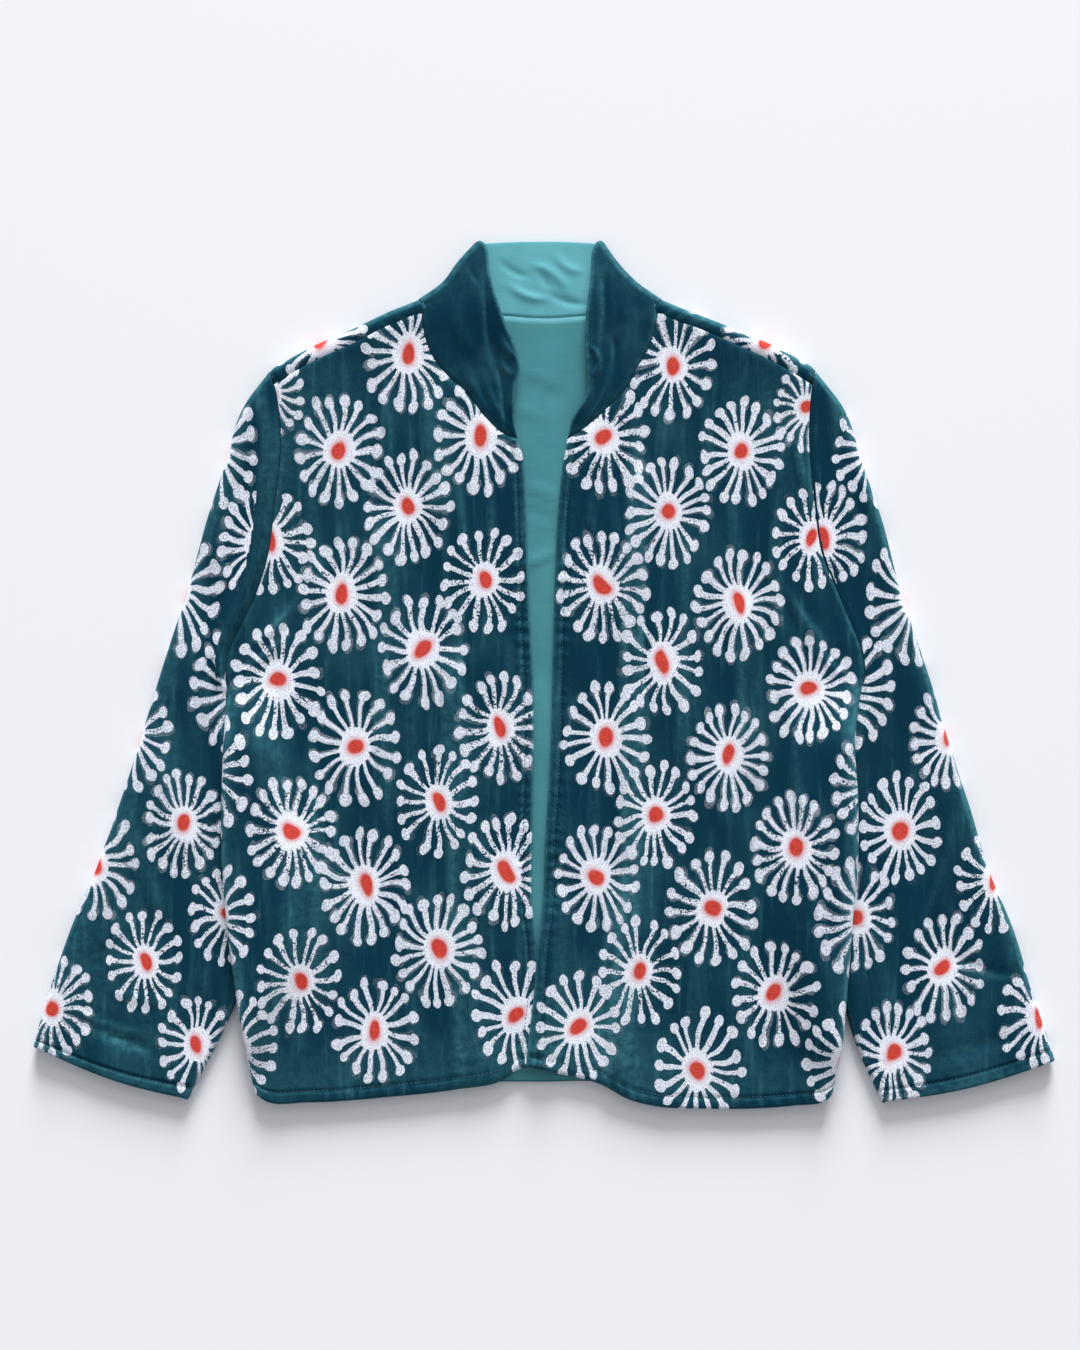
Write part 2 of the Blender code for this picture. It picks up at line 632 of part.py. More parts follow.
def collar_lining(cloth):
    inside = raised(collar_back(), VELVET_WALL + LINING_GAP + LINING_WALL)[:, 1:-1]
    inside[-1, :, 1] -= 1.0
    inside[0, :, 1] += 0.4
    return cloth_wall("collar_lining", inside, LINING_WALL, cloth)


def build():
    for old in list(bpy.data.objects):
        bpy.data.objects.remove(old, do_unlink=True)
    velvet = material("velvet", VELVET_COLOUR, 0.9)
    lining = material("lining", LINING_COLOUR, 0.7)
    back(velvet)
    back_lining(lining)
    for side in ("left", "right"):
        sleeve(side, velvet)
        front(side, velvet)
    collar(velvet)
    collar_lining(lining)


build()
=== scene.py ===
"""Velvet jacket laid out flat on its back on a pale floor.

Each panel is a shell of cloth on the form of its solid. It starts as a flat pattern piece between its edge
curves and is then laid: folded edges roll over, the sides rise over the sleeves and creases stand up.
Lengths are in millimetres until a mesh is made. x runs across, y from hem to collar and z up from the
floor. Left and right are as seen from above with the collar at the top.
"""

import logging
import math
from dataclasses import dataclass
from enum import Enum
from typing import NamedTuple, Optional, Sequence, Union

import bmesh
import bpy
import numpy as np
from mathutils import Matrix, Vector


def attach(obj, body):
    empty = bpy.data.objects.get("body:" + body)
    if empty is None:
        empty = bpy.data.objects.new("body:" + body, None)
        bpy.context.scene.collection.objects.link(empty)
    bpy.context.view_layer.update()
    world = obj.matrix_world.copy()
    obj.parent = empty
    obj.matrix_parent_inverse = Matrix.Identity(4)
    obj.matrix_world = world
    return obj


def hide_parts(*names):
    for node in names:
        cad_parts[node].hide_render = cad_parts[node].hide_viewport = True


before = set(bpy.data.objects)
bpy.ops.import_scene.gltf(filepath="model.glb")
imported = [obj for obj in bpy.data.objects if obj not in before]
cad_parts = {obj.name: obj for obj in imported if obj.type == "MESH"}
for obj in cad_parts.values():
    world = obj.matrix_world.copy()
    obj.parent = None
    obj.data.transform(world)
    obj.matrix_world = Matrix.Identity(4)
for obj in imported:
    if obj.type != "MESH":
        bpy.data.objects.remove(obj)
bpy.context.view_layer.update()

LOG = logging.getLogger("jacket")
Array = np.ndarray
Socket = bpy.types.NodeSocket
Value = Union[float, Socket]
Colour = tuple[float, float, float, float]

MM = 0.001

# Place of the frame's origin in the tables.
MIDDLE = np.array([0.5, 0.35, 0.0])

# Rows of a body panel, counted from 0 at the hem.
UNDERARM_ROW = 10
SHOULDER_ROW = 19

# A place on a flower that is well outside its print.
OFF_FLOWER = 9.0


class Side(Enum):
    """The two halves of the jacket, as seen from above."""

    LEFT = -1.0
    RIGHT = 1.0

    @property
    def out(self) -> float:
        """Sign of x away from the middle of the jacket."""
        return self.value

    @property
    def word(self) -> str:
        """The side in lower case, as node names have it."""
        return self.name.lower()


class Level(NamedTuple):
    """Where a pair of edges is at one height of the pattern."""

    y: float
    left: float
    right: float


class Point(NamedTuple):
    """A point of an edge."""

    x: float
    y: float


class Section(NamedTuple):
    """Outer and inner end of one section of a sleeve."""

    outer_x: float
    outer_y: float
    inner_x: float
    inner_y: float


class Crease(NamedTuple):
    """A soft ridge, or a trough where the height is negative, bowed to one side."""

    start_x: float
    start_y: float
    end_x: float
    end_y: float
    bow: float
    reach: float
    height: float


class Brush(NamedTuple):
    """A wide patch where the colour is lighter, or darker below 0."""

    x: float
    y: float
    reach: float
    strength: float


class Motif(NamedTuple):
    """Middle of one printed starburst flower, and its size beside the others."""

    x: float
    y: float
    size: float = 1.0


SIDES = [
    Level(-333, -231.5, 231), Level(-298, -238.5, 238), Level(-246, -247, 243), Level(-194, -253.5, 247),
    Level(-149, -257, 251), Level(-101, -257, 251), Level(-54, -255.5, 249), Level(-30, -254.5, 251.5),
    Level(-1.6, -254, 257),
]
ARMHOLES = [
    Level(-1.6, -254, 257), Level(15, -252.5, 255.5), Level(45, -239, 244), Level(69, -228, 234),
    Level(99, -219.5, 222), Level(126, -216, 218), Level(155, -212.5, 215), Level(185, -210, 212.5),
    Level(211, -211.5, 213), Level(228, -214.5, 214.5), Level(242, -219.5, 217.5),
]
FRONT_EDGES = [
    Level(-314, -10.5, -14), Level(-298, -9.5, -12.5), Level(-254, -5, -7.5), Level(-216, -5.5, -4.5),
    Level(-185, -9, -0.5), Level(-133, -9, 1.5), Level(-69, -8, 5.5), Level(6, -8.5, 7.5),
    Level(51, -11, 8.5), Level(92, -12.5, 10), Level(146, -14.5, 13), Level(174, -16.5, 16.5),
    Level(188, -20.5, 19),
]
HEMS = {
    Side.LEFT: [
        Point(-231.5, -333), Point(-219, -342), Point(-186, -343), Point(-120, -338.5),
        Point(-68, -332.5), Point(-32, -325), Point(-22, -318), Point(-10.5, -314),
    ],
    Side.RIGHT: [
        Point(231, -333), Point(223.5, -341), Point(198, -345.5), Point(164, -348), Point(128, -348),
        Point(85, -345.5), Point(68, -341), Point(46, -329), Point(7, -319), Point(-14, -314),
    ],
}
BACK_HEM = [
    Point(-231.5, -333), Point(-195, -338), Point(-115, -333.5), Point(-49, -327.5), Point(0, -327),
    Point(49, -328), Point(85, -339), Point(164, -343), Point(221, -338), Point(231, -333),
]
NECKLINES = {
    Side.LEFT: [
        Point(-20.5, 188), Point(-31.5, 192), Point(-47.5, 206.5), Point(-63, 226.5), Point(-75, 237),
        Point(-87.5, 252), Point(-95.5, 272), Point(-97.3, 289.8),
    ],
    Side.RIGHT: [
        Point(19, 188), Point(29, 194), Point(40.5, 203), Point(53, 214.5), Point(64.5, 226),
        Point(75, 245), Point(84.5, 262), Point(89.5, 277), Point(91.7, 289.8),
    ],
}
BACK_NECK = [
    Point(-98.8, 294), Point(-75, 290.5), Point(-31, 287), Point(0, 285), Point(33, 287),
    Point(69, 290.5), Point(93.2, 294),
]
SHOULDERS = {
    Side.LEFT: [
        Point(-100.4, 299), Point(-125, 289.5), Point(-149, 278), Point(-191, 259.5), Point(-218, 244),
    ],
    Side.RIGHT: [
        Point(94.8, 299), Point(119.5, 289.5), Point(155, 275.5), Point(191.5, 259.5), Point(216.5, 245),
    ],
}
SLEEVES = {
    Side.LEFT: [
        Section(-219.5, 242, -254, -1.6), Section(-240.5, 213, -254.8, -4), Section(-255, 168, -255.3, -8),
        Section(-270, 122, -255.6, -12), Section(-284, 70, -255.8, -17), Section(-299, 25, -256, -26),
        Section(-313, -20, -256, -42), Section(-327, -66, -250, -68), Section(-340, -105, -241, -108),
        Section(-358, -155, -231, -160), Section(-379, -205, -234, -225), Section(-395.5, -253, -250, -272),
        Section(-409, -298.5, -285, -341.5),
    ],
    Side.RIGHT: [
        Section(217.5, 243, 257, -1.6), Section(240, 213, 257.9, -4), Section(255.5, 168, 258.4, -8),
        Section(271.5, 122, 258.3, -12), Section(285, 70, 257.8, -17), Section(300, 25, 256, -26),
        Section(314.5, -20, 252.5, -42), Section(328, -66, 245, -68), Section(341, -105, 237, -105),
        Section(356, -155, 231, -160), Section(376.5, -205, 233.5, -225), Section(391.5, -254.5, 248, -290),
        Section(410, -309.5, 271.5, -344),
    ],
}
COLLAR_FOLDS = {
    Side.LEFT: [Point(-100.4, 300), Point(-80, 315), Point(-69, 330), Point(-51.5, 349)],
    Side.RIGHT: [Point(94.8, 300), Point(75, 314), Point(63, 326), Point(46, 349)],
}
COLLAR_EDGES = {
    Side.LEFT: [
        Point(-22, 193), Point(-23.5, 206), Point(-22, 232), Point(-18.8, 245), Point(-22.8, 263),
        Point(-29, 278), Point(-36.5, 298), Point(-43, 322), Point(-47.5, 345),
    ],
    Side.RIGHT: [
        Point(20.5, 193), Point(23, 205), Point(28, 213), Point(34, 223), Point(34.8, 241),
        Point(33.2, 265), Point(34, 287), Point(38, 318), Point(42, 345),
    ],
}
COLLAR_TOP = [Point(-15.5, 346.5), Point(14, 346.5)]

# The large folds, most of which the solids have too.
FOLDS = [
    Crease(78, 175, 67, -10, 0, 8, 4.0), Crease(68, -5, 70, -165, 0, 8, 4.0),
    Crease(70, -160, 56, -330, 0, 9, 5.2), Crease(59, -150, 45, -328, 0, 5, -1.6),
    Crease(161, 60, 166, -90, 0, 9, 2.0),
    Crease(120, 120, 116, -60, 0, 10, 1.6), Crease(-85, 225, -83, 120, 0, 8, 2.2),
    Crease(-74, 20, -60, -328, 0, 10, 3.0), Crease(-125, 130, -118, -120, 0, 11, 1.8),
    Crease(-180, -40, -170, -260, 0, 12, 1.8), Crease(-376, -272, -318, -296, 0, 8, -1.8),
    Crease(-300, -60, -285, -150, 0, 12, 1.6), Crease(300, -60, 322, -150, 0, 12, 1.6),
]

# Finer creases of the fronts, mostly along the drop of the cloth.
FRONT_CREASES = [
    Crease(-96, 228, -92, 160, 2, 3.5, 1.1), Crease(-70, 150, -66, 84, -2, 3.0, 1.2),
    Crease(-42, 145, -44, 104, 1, 2.6, 0.9), Crease(-118, 112, -122, 36, 2, 3.6, 1.0),
    Crease(-128, 218, -126, 150, -2, 4.0, 1.2), Crease(-60, 64, -64, -14, 2, 3.2, -0.9),
    Crease(-186, 150, -178, 58, 3, 5.0, 1.0), Crease(-140, 24, -132, -72, -3, 4.4, 1.0),
    Crease(-106, -10, -100, -122, 3, 4.6, 0.9), Crease(-214, 60, -206, -44, -3, 5.0, 0.9),
    Crease(-48, -118, -44, -232, 2, 4.4, 1.0), Crease(-112, -180, -100, -304, 4, 5.0, 1.0),
    Crease(-204, -178, -198, -306, 3, 5.4, 1.0), Crease(-30, 30, -28, -60, -1, 3.0, 0.8),
    Crease(-152, 214, -148, 150, 2, 3.4, 0.8), Crease(-80, 100, -84, 40, -2, 3.0, 0.9),
    Crease(38, 144, 38, 108, 1, 2.8, 0.9), Crease(56, 128, 58, 40, -2, 3.4, 1.0),
    Crease(96, 212, 92, 128, 2, 3.8, 1.1), Crease(128, 222, 124, 136, -3, 4.0, 1.0),
    Crease(150, 162, 156, 80, 2, 4.2, 0.9), Crease(186, 124, 190, 18, 3, 5.0, 1.0),
    Crease(110, 0, 106, -112, -3, 4.4, 1.0), Crease(140, -20, 146, -132, 3, 4.6, 0.9),
    Crease(198, -20, 206, -122, -3, 5.2, 0.9), Crease(92, -140, 84, -262, 3, 4.4, 1.1),
    Crease(120, -228, 112, -330, -2, 4.6, 1.0), Crease(170, -168, 160, -312, 4, 5.6, 1.0),
    Crease(40, -92, 36, -192, 2, 4.0, 0.9), Crease(82, 60, 84, -30, 2, 3.2, -0.9),
    Crease(72, 206, 66, 150, -2, 3.2, 0.9), Crease(203, 196, 211, 142, 2, 3.2, 1.3),
    Crease(196, 64, 226, 22, 3, 4.2, 1.2), Crease(210, 34, 240, -2, 3, 4.0, 1.0),
    Crease(-203, 236, -211, 158, 3, 6.0, 1.3), Crease(-196, 60, -230, 24, -3, 4.4, 1.1),
    Crease(-206, 30, -238, 4, -2, 4.0, 0.9),
]
SLEEVE_CREASES = [
    Crease(-262, 150, -258, 70, 3, 5.0, 1.0), Crease(-280, 40, -272, -40, -3, 5.0, 0.9),
    Crease(-332, -120, -300, -200, 4, 6.0, 1.1), Crease(-388, -236, -330, -214, 4, 5.0, -0.9),
    Crease(-380, -266, -318, -291, 3, 3.0, 1.5), Crease(-350, -288, -316, -302, -2, 3.0, -1.0),
    Crease(-262, -180, -276, -268, 3, 5.0, 1.0), Crease(-352, -250, -300, -262, 3, 4.0, 0.8),
    Crease(262, 150, 260, 70, -3, 5.0, 1.0), Crease(280, 40, 274, -40, 3, 5.0, 0.9),
    Crease(330, -120, 302, -206, -4, 6.0, 1.1), Crease(384, -240, 326, -226, -4, 5.0, -0.9),
    Crease(258, -190, 270, -284, -3, 5.0, 1.0), Crease(378, -290, 300, -318, 3, 5.0, -0.9),
]
COLLAR_CREASES = [
    Crease(-46, 322, -40, 246, 2, 3.4, -1.2), Crease(-40, 262, -30, 196, -2, 3.0, -1.0),
    Crease(-34, 268, -22, 252, 1, 2.2, 1.1), Crease(-36, 250, -24, 238, 1, 2.2, 0.9),
    Crease(-48, 240, -28, 198, 3, 3.0, 1.0), Crease(-62, 246, -36, 200, 4, 4.0, 0.9),
    Crease(-70, 300, -58, 256, 3, 5.0, 0.9), Crease(-60, 330, -52, 312, 1, 2.6, -0.9),
    Crease(36, 262, 42, 250, -3, 2.2, 1.1), Crease(44, 256, 37, 236, -3, 2.4, 1.0),
    Crease(56, 268, 55, 244, -2, 2.8, -1.0), Crease(48, 316, 46, 262, -2, 3.4, -1.0),
    Crease(52, 236, 34, 202, -3, 3.0, 0.9), Crease(68, 296, 66, 252, -3, 5.0, 0.9),
    Crease(52, 334, 47, 306, -1, 3.0, -0.8),
]
LINING_CREASES = [
    Crease(-24, 214, 2, 206, 1, 3.0, 0.6), Crease(-6, 228, 16, 219, -1, 3.0, -0.5),
    Crease(-22, 244, 6, 238, 1, 3.4, 0.5), Crease(-20, 86, 12, 100, 1, 2.4, 0.9),
    Crease(-14, 152, 10, 143, 1, 3.0, 0.8), Crease(-14, 132, 8, 125, 1, 2.6, -0.7),
    Crease(-8, 60, -4, -40, 1, 3.0, 0.5), Crease(12, 240, -16, 200, 3, 7.0, 0.5),
    Crease(-30, 20, -40, -60, 2, 8.0, 0.6), Crease(60, -40, 70, -200, 4, 12.0, 0.6),
]
COLLAR_LINING_CREASES = [
    Crease(-28, 312, 2, 300, 3, 3.2, 0.9), Crease(-8, 328, 20, 306, -4, 3.4, 0.8),
    Crease(-34, 330, -12, 318, 2, 3.0, -0.6), Crease(6, 304, 34, 296, 2, 3.0, -0.7),
    Crease(10, 336, 30, 322, 3, 3.4, 0.7), Crease(-2, 324, 4, 310, 1, 2.4, -0.7),
]

# Wide patches of lighter colour, or darker below 0: shoulders, outer sleeves, cuffs and hem are lighter.
# The four narrow ones down the right front are a painted highlight on the lit flank of its big fold.
TONE_PATCHES = [
    Brush(-195, 215, 62, 0.22), Brush(-258, 165, 55, 0.22), Brush(-180, 30, 48, 0.13),
    Brush(-340, -40, 50, 0.16), Brush(-368, -125, 55, 0.24), Brush(-390, -215, 55, 0.22),
    Brush(-312, -302, 48, 0.20), Brush(203, 215, 55, 0.24), Brush(-5, -318, 62, 0.20),
    Brush(90, -312, 50, 0.10), Brush(332, -318, 48, 0.14), Brush(-45, -70, 45, 0.10),
    Brush(-190, -45, 48, -0.14), Brush(-205, -125, 48, -0.12), Brush(52, -15, 40, -0.10),
    Brush(345, -180, 60, -0.08), Brush(74, -130, 15, 0.20), Brush(70, -190, 15, 0.22),
    Brush(66, -250, 15, 0.22), Brush(62, -310, 15, 0.18),
]

# Middles of the printed flowers on what shows. They stand in columns that drop by half a step in turn.
FRONT_MOTIFS = {
    Side.LEFT: [
        Motif(-50.8, 191.2), Motif(-48.4, 75.2), Motif(-34.8, -43.2), Motif(-29.2, -157.6),
        Motif(-22.8, -272.8), Motif(-106.8, 256), Motif(-108.4, 133.6), Motif(-96.4, 19.2),
        Motif(-85.2, -101.6), Motif(-84.4, -220.8), Motif(-163.6, 179.2), Motif(-160.4, 64),
        Motif(-150.8, -57.6), Motif(-142.8, -169.6), Motif(-134.8, -284.8), Motif(-220.4, 223.2, 0.8),
        Motif(-218.8, 106.4, 0.94), Motif(-213.2, -5.6), Motif(-201.2, -125.6), Motif(-195.6, -245.6),
        Motif(-271, -80, 1.1), Motif(-262, -194), Motif(-246, -297),
    ],
    Side.RIGHT: [
        Motif(47.6, 188.8), Motif(46.8, 71.2), Motif(50, -51.2), Motif(42.8, -162.4),
        Motif(27.6, -282.4), Motif(103.6, 247.2), Motif(99.6, 129.6), Motif(94.8, 9.6),
        Motif(89.2, -112.8), Motif(76.4, -237.6), Motif(158, 177.6), Motif(155.6, 56),
        Motif(147.6, -65.6), Motif(134.8, -187.2), Motif(123.6, -316.8), Motif(211.5, 213, 0.78),
        Motif(214.8, 109.6, 0.96), Motif(213.2, -12), Motif(200.4, -139.2), Motif(184.4, -256),
        Motif(264, -90), Motif(256, -195, 1.12), Motif(243, -310),
    ],
}
SLEEVE_MOTIFS = {
    Side.LEFT: [
        Motif(-265, 179.2, 1.18), Motif(-229, 103), Motif(-295.5, 66.5, 1.25),
        Motif(-246.5, -12.8, 1.12), Motif(-331, -48.8), Motif(-288.4, -120), Motif(-252.5, -191.2),
        Motif(-358.8, -152.8), Motif(-319.6, -229.6), Motif(-392.4, -266.4), Motif(-277.2, -296.8),
    ],
    Side.RIGHT: [
        Motif(264, 179.2), Motif(224, 109.6), Motif(298.5, 60, 1.2), Motif(245.5, -12.8, 1.08),
        Motif(323.6, -51.2), Motif(285.2, -124.8), Motif(250, -195.2), Motif(361.2, -164.8),
        Motif(320.4, -235.2), Motif(395.6, -273.6), Motif(279.6, -304),
    ],
}
STRIP_MOTIFS = [Motif(-181, 269.5), Motif(180, 270)]


def smooth_step(low: float, high: float, value: Array) -> Array:
    """Soft ramp between two values.

    Args:
        low: where the ramp is 0.
        high: where the ramp is 1.
        value: places on the ramp.

    Returns:
        Shares from 0 to 1.
    """
    share = np.clip((value - low) / (high - low), 0.0, 1.0)
    return share * share * (3.0 - 2.0 * share)


def bell(distance: Array, reach: float) -> Array:
    """Height of a soft bell at a distance from its middle."""
    return np.exp(-((distance / reach) ** 2))


def curve(keys: Sequence[float], values: Array, at: Array) -> Array:
    """Smooth curve through values that stand at rising keys.

    Args:
        keys: rising places of the values.
        values: numbers or points.
        at: places to read.

    Returns:
        The numbers or points at these places.
    """
    keys = np.asarray(keys, float)
    values = np.asarray(values, float)
    slopes = np.gradient(values, keys, axis=0)
    at = np.clip(at, keys[0], keys[-1])
    index = np.clip(np.searchsorted(keys, at) - 1, 0, len(keys) - 2)
    step = keys[index + 1] - keys[index]
    t = (at - keys[index]) / step
    if values.ndim > 1:
        t = t[..., None]
        step = step[..., None]
    before = (1 + 2 * t) * (1 - t) ** 2 * values[index] + t * (1 - t) ** 2 * step * slopes[index]
    after = t * t * (3 - 2 * t) * values[index + 1] + t * t * (t - 1) * step * slopes[index + 1]
    return before + after


def edge(points: Sequence[Point], shares: Array) -> Array:
    """Points at these shares of the length of a smooth edge."""
    places = np.asarray([(point.x, point.y) for point in points], float)
    keys = lengths_along(places)
    return curve(keys / keys[-1], places, np.asarray(shares, float))


def lengths_along(points: Array) -> Array:
    """Length of a line of points up to each of them."""
    steps = np.linalg.norm(np.diff(points, axis=0), axis=1)
    return np.concatenate([[0.0], np.cumsum(steps)])


def level_points(levels: Sequence[Level], side: Side) -> list[Point]:
    """One side's points of a table of levels."""
    return [Point(getattr(level, side.word), level.y) for level in levels]


def patch(bottom: Array, top: Array, first: Array, last: Array, across: Array, up: Array) -> Array:
    """Flat patch between four edges.

    Args:
        bottom: the lower edge at the shares across.
        top: the upper edge at the shares across.
        first: the edge where the shares across start, at the shares up.
        last: the edge where the shares across end, at the shares up.
        across: shares from first to last.
        up: shares from bottom to top.

    Returns:
        Points of the patch, row by row.
    """
    across = across[None, :, None]
    up = up[:, None, None]
    ruled_up = (1 - up) * bottom[None] + up * top[None]
    ruled_across = (1 - across) * first[:, None] + across * last[:, None]
    low = (1 - across) * bottom[0] + across * bottom[-1]
    high = (1 - across) * top[0] + across * top[-1]
    return ruled_up + ruled_across - (1 - up) * low - up * high


def crease_heights(creases: Sequence[Crease], x: Array, y: Array) -> tuple[Array, Array]:
    """Height of a set of creases, and a painted highlight along one flank of each.

    Args:
        creases: the creases.
        x: places across.
        y: places from hem to collar.

    Returns:
        Heights in millimetres, and the painted highlight from 0 up.
    """
    height = np.zeros_like(x)
    painted_light_and_tone = np.zeros_like(x)
    for crease in creases:
        run = np.array([crease.end_x - crease.start_x, crease.end_y - crease.start_y], float)
        length = float(np.linalg.norm(run))
        run /= length
        along = (x - crease.start_x) * run[0] + (y - crease.start_y) * run[1]
        across = (x - crease.start_x) * run[1] - (y - crease.start_y) * run[0]
        share = np.clip(along / length, 0.0, 1.0)
        across = across - crease.bow * 4 * share * (1 - share)
        taper = min(25.0, 0.4 * length)
        ends = smooth_step(-0.6 * taper, taper, along)
        ends = ends * smooth_step(length + 0.6 * taper, length - taper, along)
        height += crease.height * ends * bell(across, crease.reach)
        flank = across * np.sign(-run[1] or 1.0) - 0.55 * crease.reach
        painted_light_and_tone += 0.22 * abs(crease.height) ** 0.5 * ends * bell(flank, 0.55 * crease.reach)
    return height, painted_light_and_tone


def patch_tone(x: Array, y: Array) -> Array:
    """How much lighter, or darker, the wide patches make the colour at places."""
    return sum(spot.strength * bell(np.hypot(x - spot.x, y - spot.y), spot.reach) for spot in TONE_PATCHES)


def drape(x: Array, y: Array) -> Array:
    """Low uneven waves of the padded cloth, mostly along its drop."""
    sway = 0.9 * np.sin(y / 41.0 + x / 57.0) + 0.7 * np.sin(y / 23.0 - x / 83.0)
    waves = np.sin(x / 4.6 + sway) * (0.55 + 0.45 * np.sin(y / 37.0 + x / 19.0))
    broad = np.sin(x / 13.0 + 0.6 * sway) * np.sin(y / 29.0 + x / 71.0)
    return 0.30 * waves + 0.50 * broad


def lip(distance: Array, radius: float) -> Array:
    """How far a folded edge drops at a distance inside it."""
    inside = np.clip(radius - distance, 0.0, radius)
    return radius - np.sqrt(np.maximum(radius * radius - inside * inside, 0.0))


def raised(points: Array, distance: float) -> Array:
    """A grid of points moved along its own normals."""
    normal = np.cross(np.gradient(points, axis=1), np.gradient(points, axis=0))
    normal /= np.linalg.norm(normal, axis=2)[..., None]
    return points + distance * normal


def steps(*stops: tuple[float, float]) -> Array:
    """Rising places up to each stop in turn, each stop with the step that leads to it."""
    places = [0.0]
    for stop, step in stops:
        count = max(1, round((stop - places[-1]) / step))
        places.extend(np.linspace(places[-1], stop, count + 1)[1:])
    return np.array(places)


@dataclass(frozen=True)
class Lay:
    """Heights and roll sizes of the laid cloth, and where its side seams and shoulders are."""

    height: float = 9.4
    fold_radius: float = 5.5
    seam_gap: float = 0.2
    side_lift: float = 10.2
    fold_reach: float = 22.0
    shoulder_slope: float = math.radians(25.0)
    underarm_y: float = -1.6
    armhole_share: float = 0.955

    @property
    def roll(self) -> float:
        """Length of cloth in the roll of a side seam."""
        return 0.5 * math.pi * self.fold_radius - self.seam_gap

    @property
    def puff(self) -> float:
        """How much higher a fold stands than the cloth beside it."""
        return 2 * self.fold_radius - self.height

    def shoulder_out(self, side: Side) -> Array:
        """Direction in plan out of the jacket across a shoulder."""
        return np.array([side.out * math.sin(self.shoulder_slope), math.cos(self.shoulder_slope)])

    def shoulder_rise(self, x: Array, y: Array) -> Array:
        """Extra height of the upper cloth near the folds of the shoulders."""
        rise = np.zeros_like(x)
        for side in Side:
            points = sorted(SHOULDERS[side])
            fold_y = curve([point.x for point in points], np.array([point.y for point in points]), x)
            inside = (fold_y - y) * math.cos(self.shoulder_slope) - self.fold_radius
            rise = np.where(side.out * x > 0, bell(np.maximum(inside, 0.0), self.fold_reach), rise)
        return rise * self.puff

    def lift(self, x: Array, y: Array, side: Side) -> Array:
        """How far the sleeve underneath raises the body near its side."""
        rows = sorted((section.inner_y, section.inner_x) for section in SLEEVES[side])
        sleeve_x = curve([row[0] for row in rows], np.array([row[1] for row in rows]), y)
        inside = side.out * (sleeve_x - x)
        under = smooth_step(self.underarm_y - 2, self.underarm_y - 62, y)
        to_hem = 1 - 0.8 * smooth_step(-290, -338, y)
        return self.side_lift * smooth_step(60, 14, inside) * under * to_hem

    def side_turn(self, y: Array) -> Array:
        """Angle through which a side rolls: a quarter turn at the side seam and none at the armhole."""
        return 0.5 * math.pi * smooth_step(self.underarm_y + 4, self.underarm_y - 26, y) + 1e-4

    def rolled(self, distance: Array, turn: Array) -> tuple[Array, Array]:
        """How far inwards a point of a side roll moves, and how far it drops."""
        past = np.maximum(self.roll - distance, 0.0)
        radius = self.roll / turn
        return past - radius * np.sin(past / radius), radius * (1 - np.cos(past / radius))

    def side_line(self, side: Side, rows: Array) -> Array:
        """Side and armhole of a flat pattern piece, with the cloth of the roll let out.

        Args:
            side: which side.
            rows: places from 0 at the hem through 10 at the underarm to 19 at the shoulder.

        Returns:
            Points in plan.
        """
        side_shares = np.array([0, 0.04, 0.12, 0.23, 0.35, 0.48, 0.61, 0.73, 0.83, 0.92, 1.0])
        lower = edge(level_points(SIDES, side), np.interp(rows, np.arange(UNDERARM_ROW + 1), side_shares))
        armhole_rows = SHOULDER_ROW - UNDERARM_ROW
        armhole_shares = np.clip(rows - UNDERARM_ROW, 0, armhole_rows) / armhole_rows * self.armhole_share
        upper = edge(level_points(ARMHOLES, side), armhole_shares)
        line = np.where(rows[:, None] <= UNDERARM_ROW, lower, upper)
        turn = self.side_turn(line[:, 1])
        line[:, 0] += side.out * (self.roll - self.roll / turn * np.sin(turn))
        return line

    def shoulder_line(self, side: Side, shares: Array, inwards: float) -> Array:
        """The fold of a shoulder from tip to neck, moved inwards across its slope."""
        return edge(SHOULDERS[side][::-1], shares) - inwards * self.shoulder_out(side)


LAY = Lay()


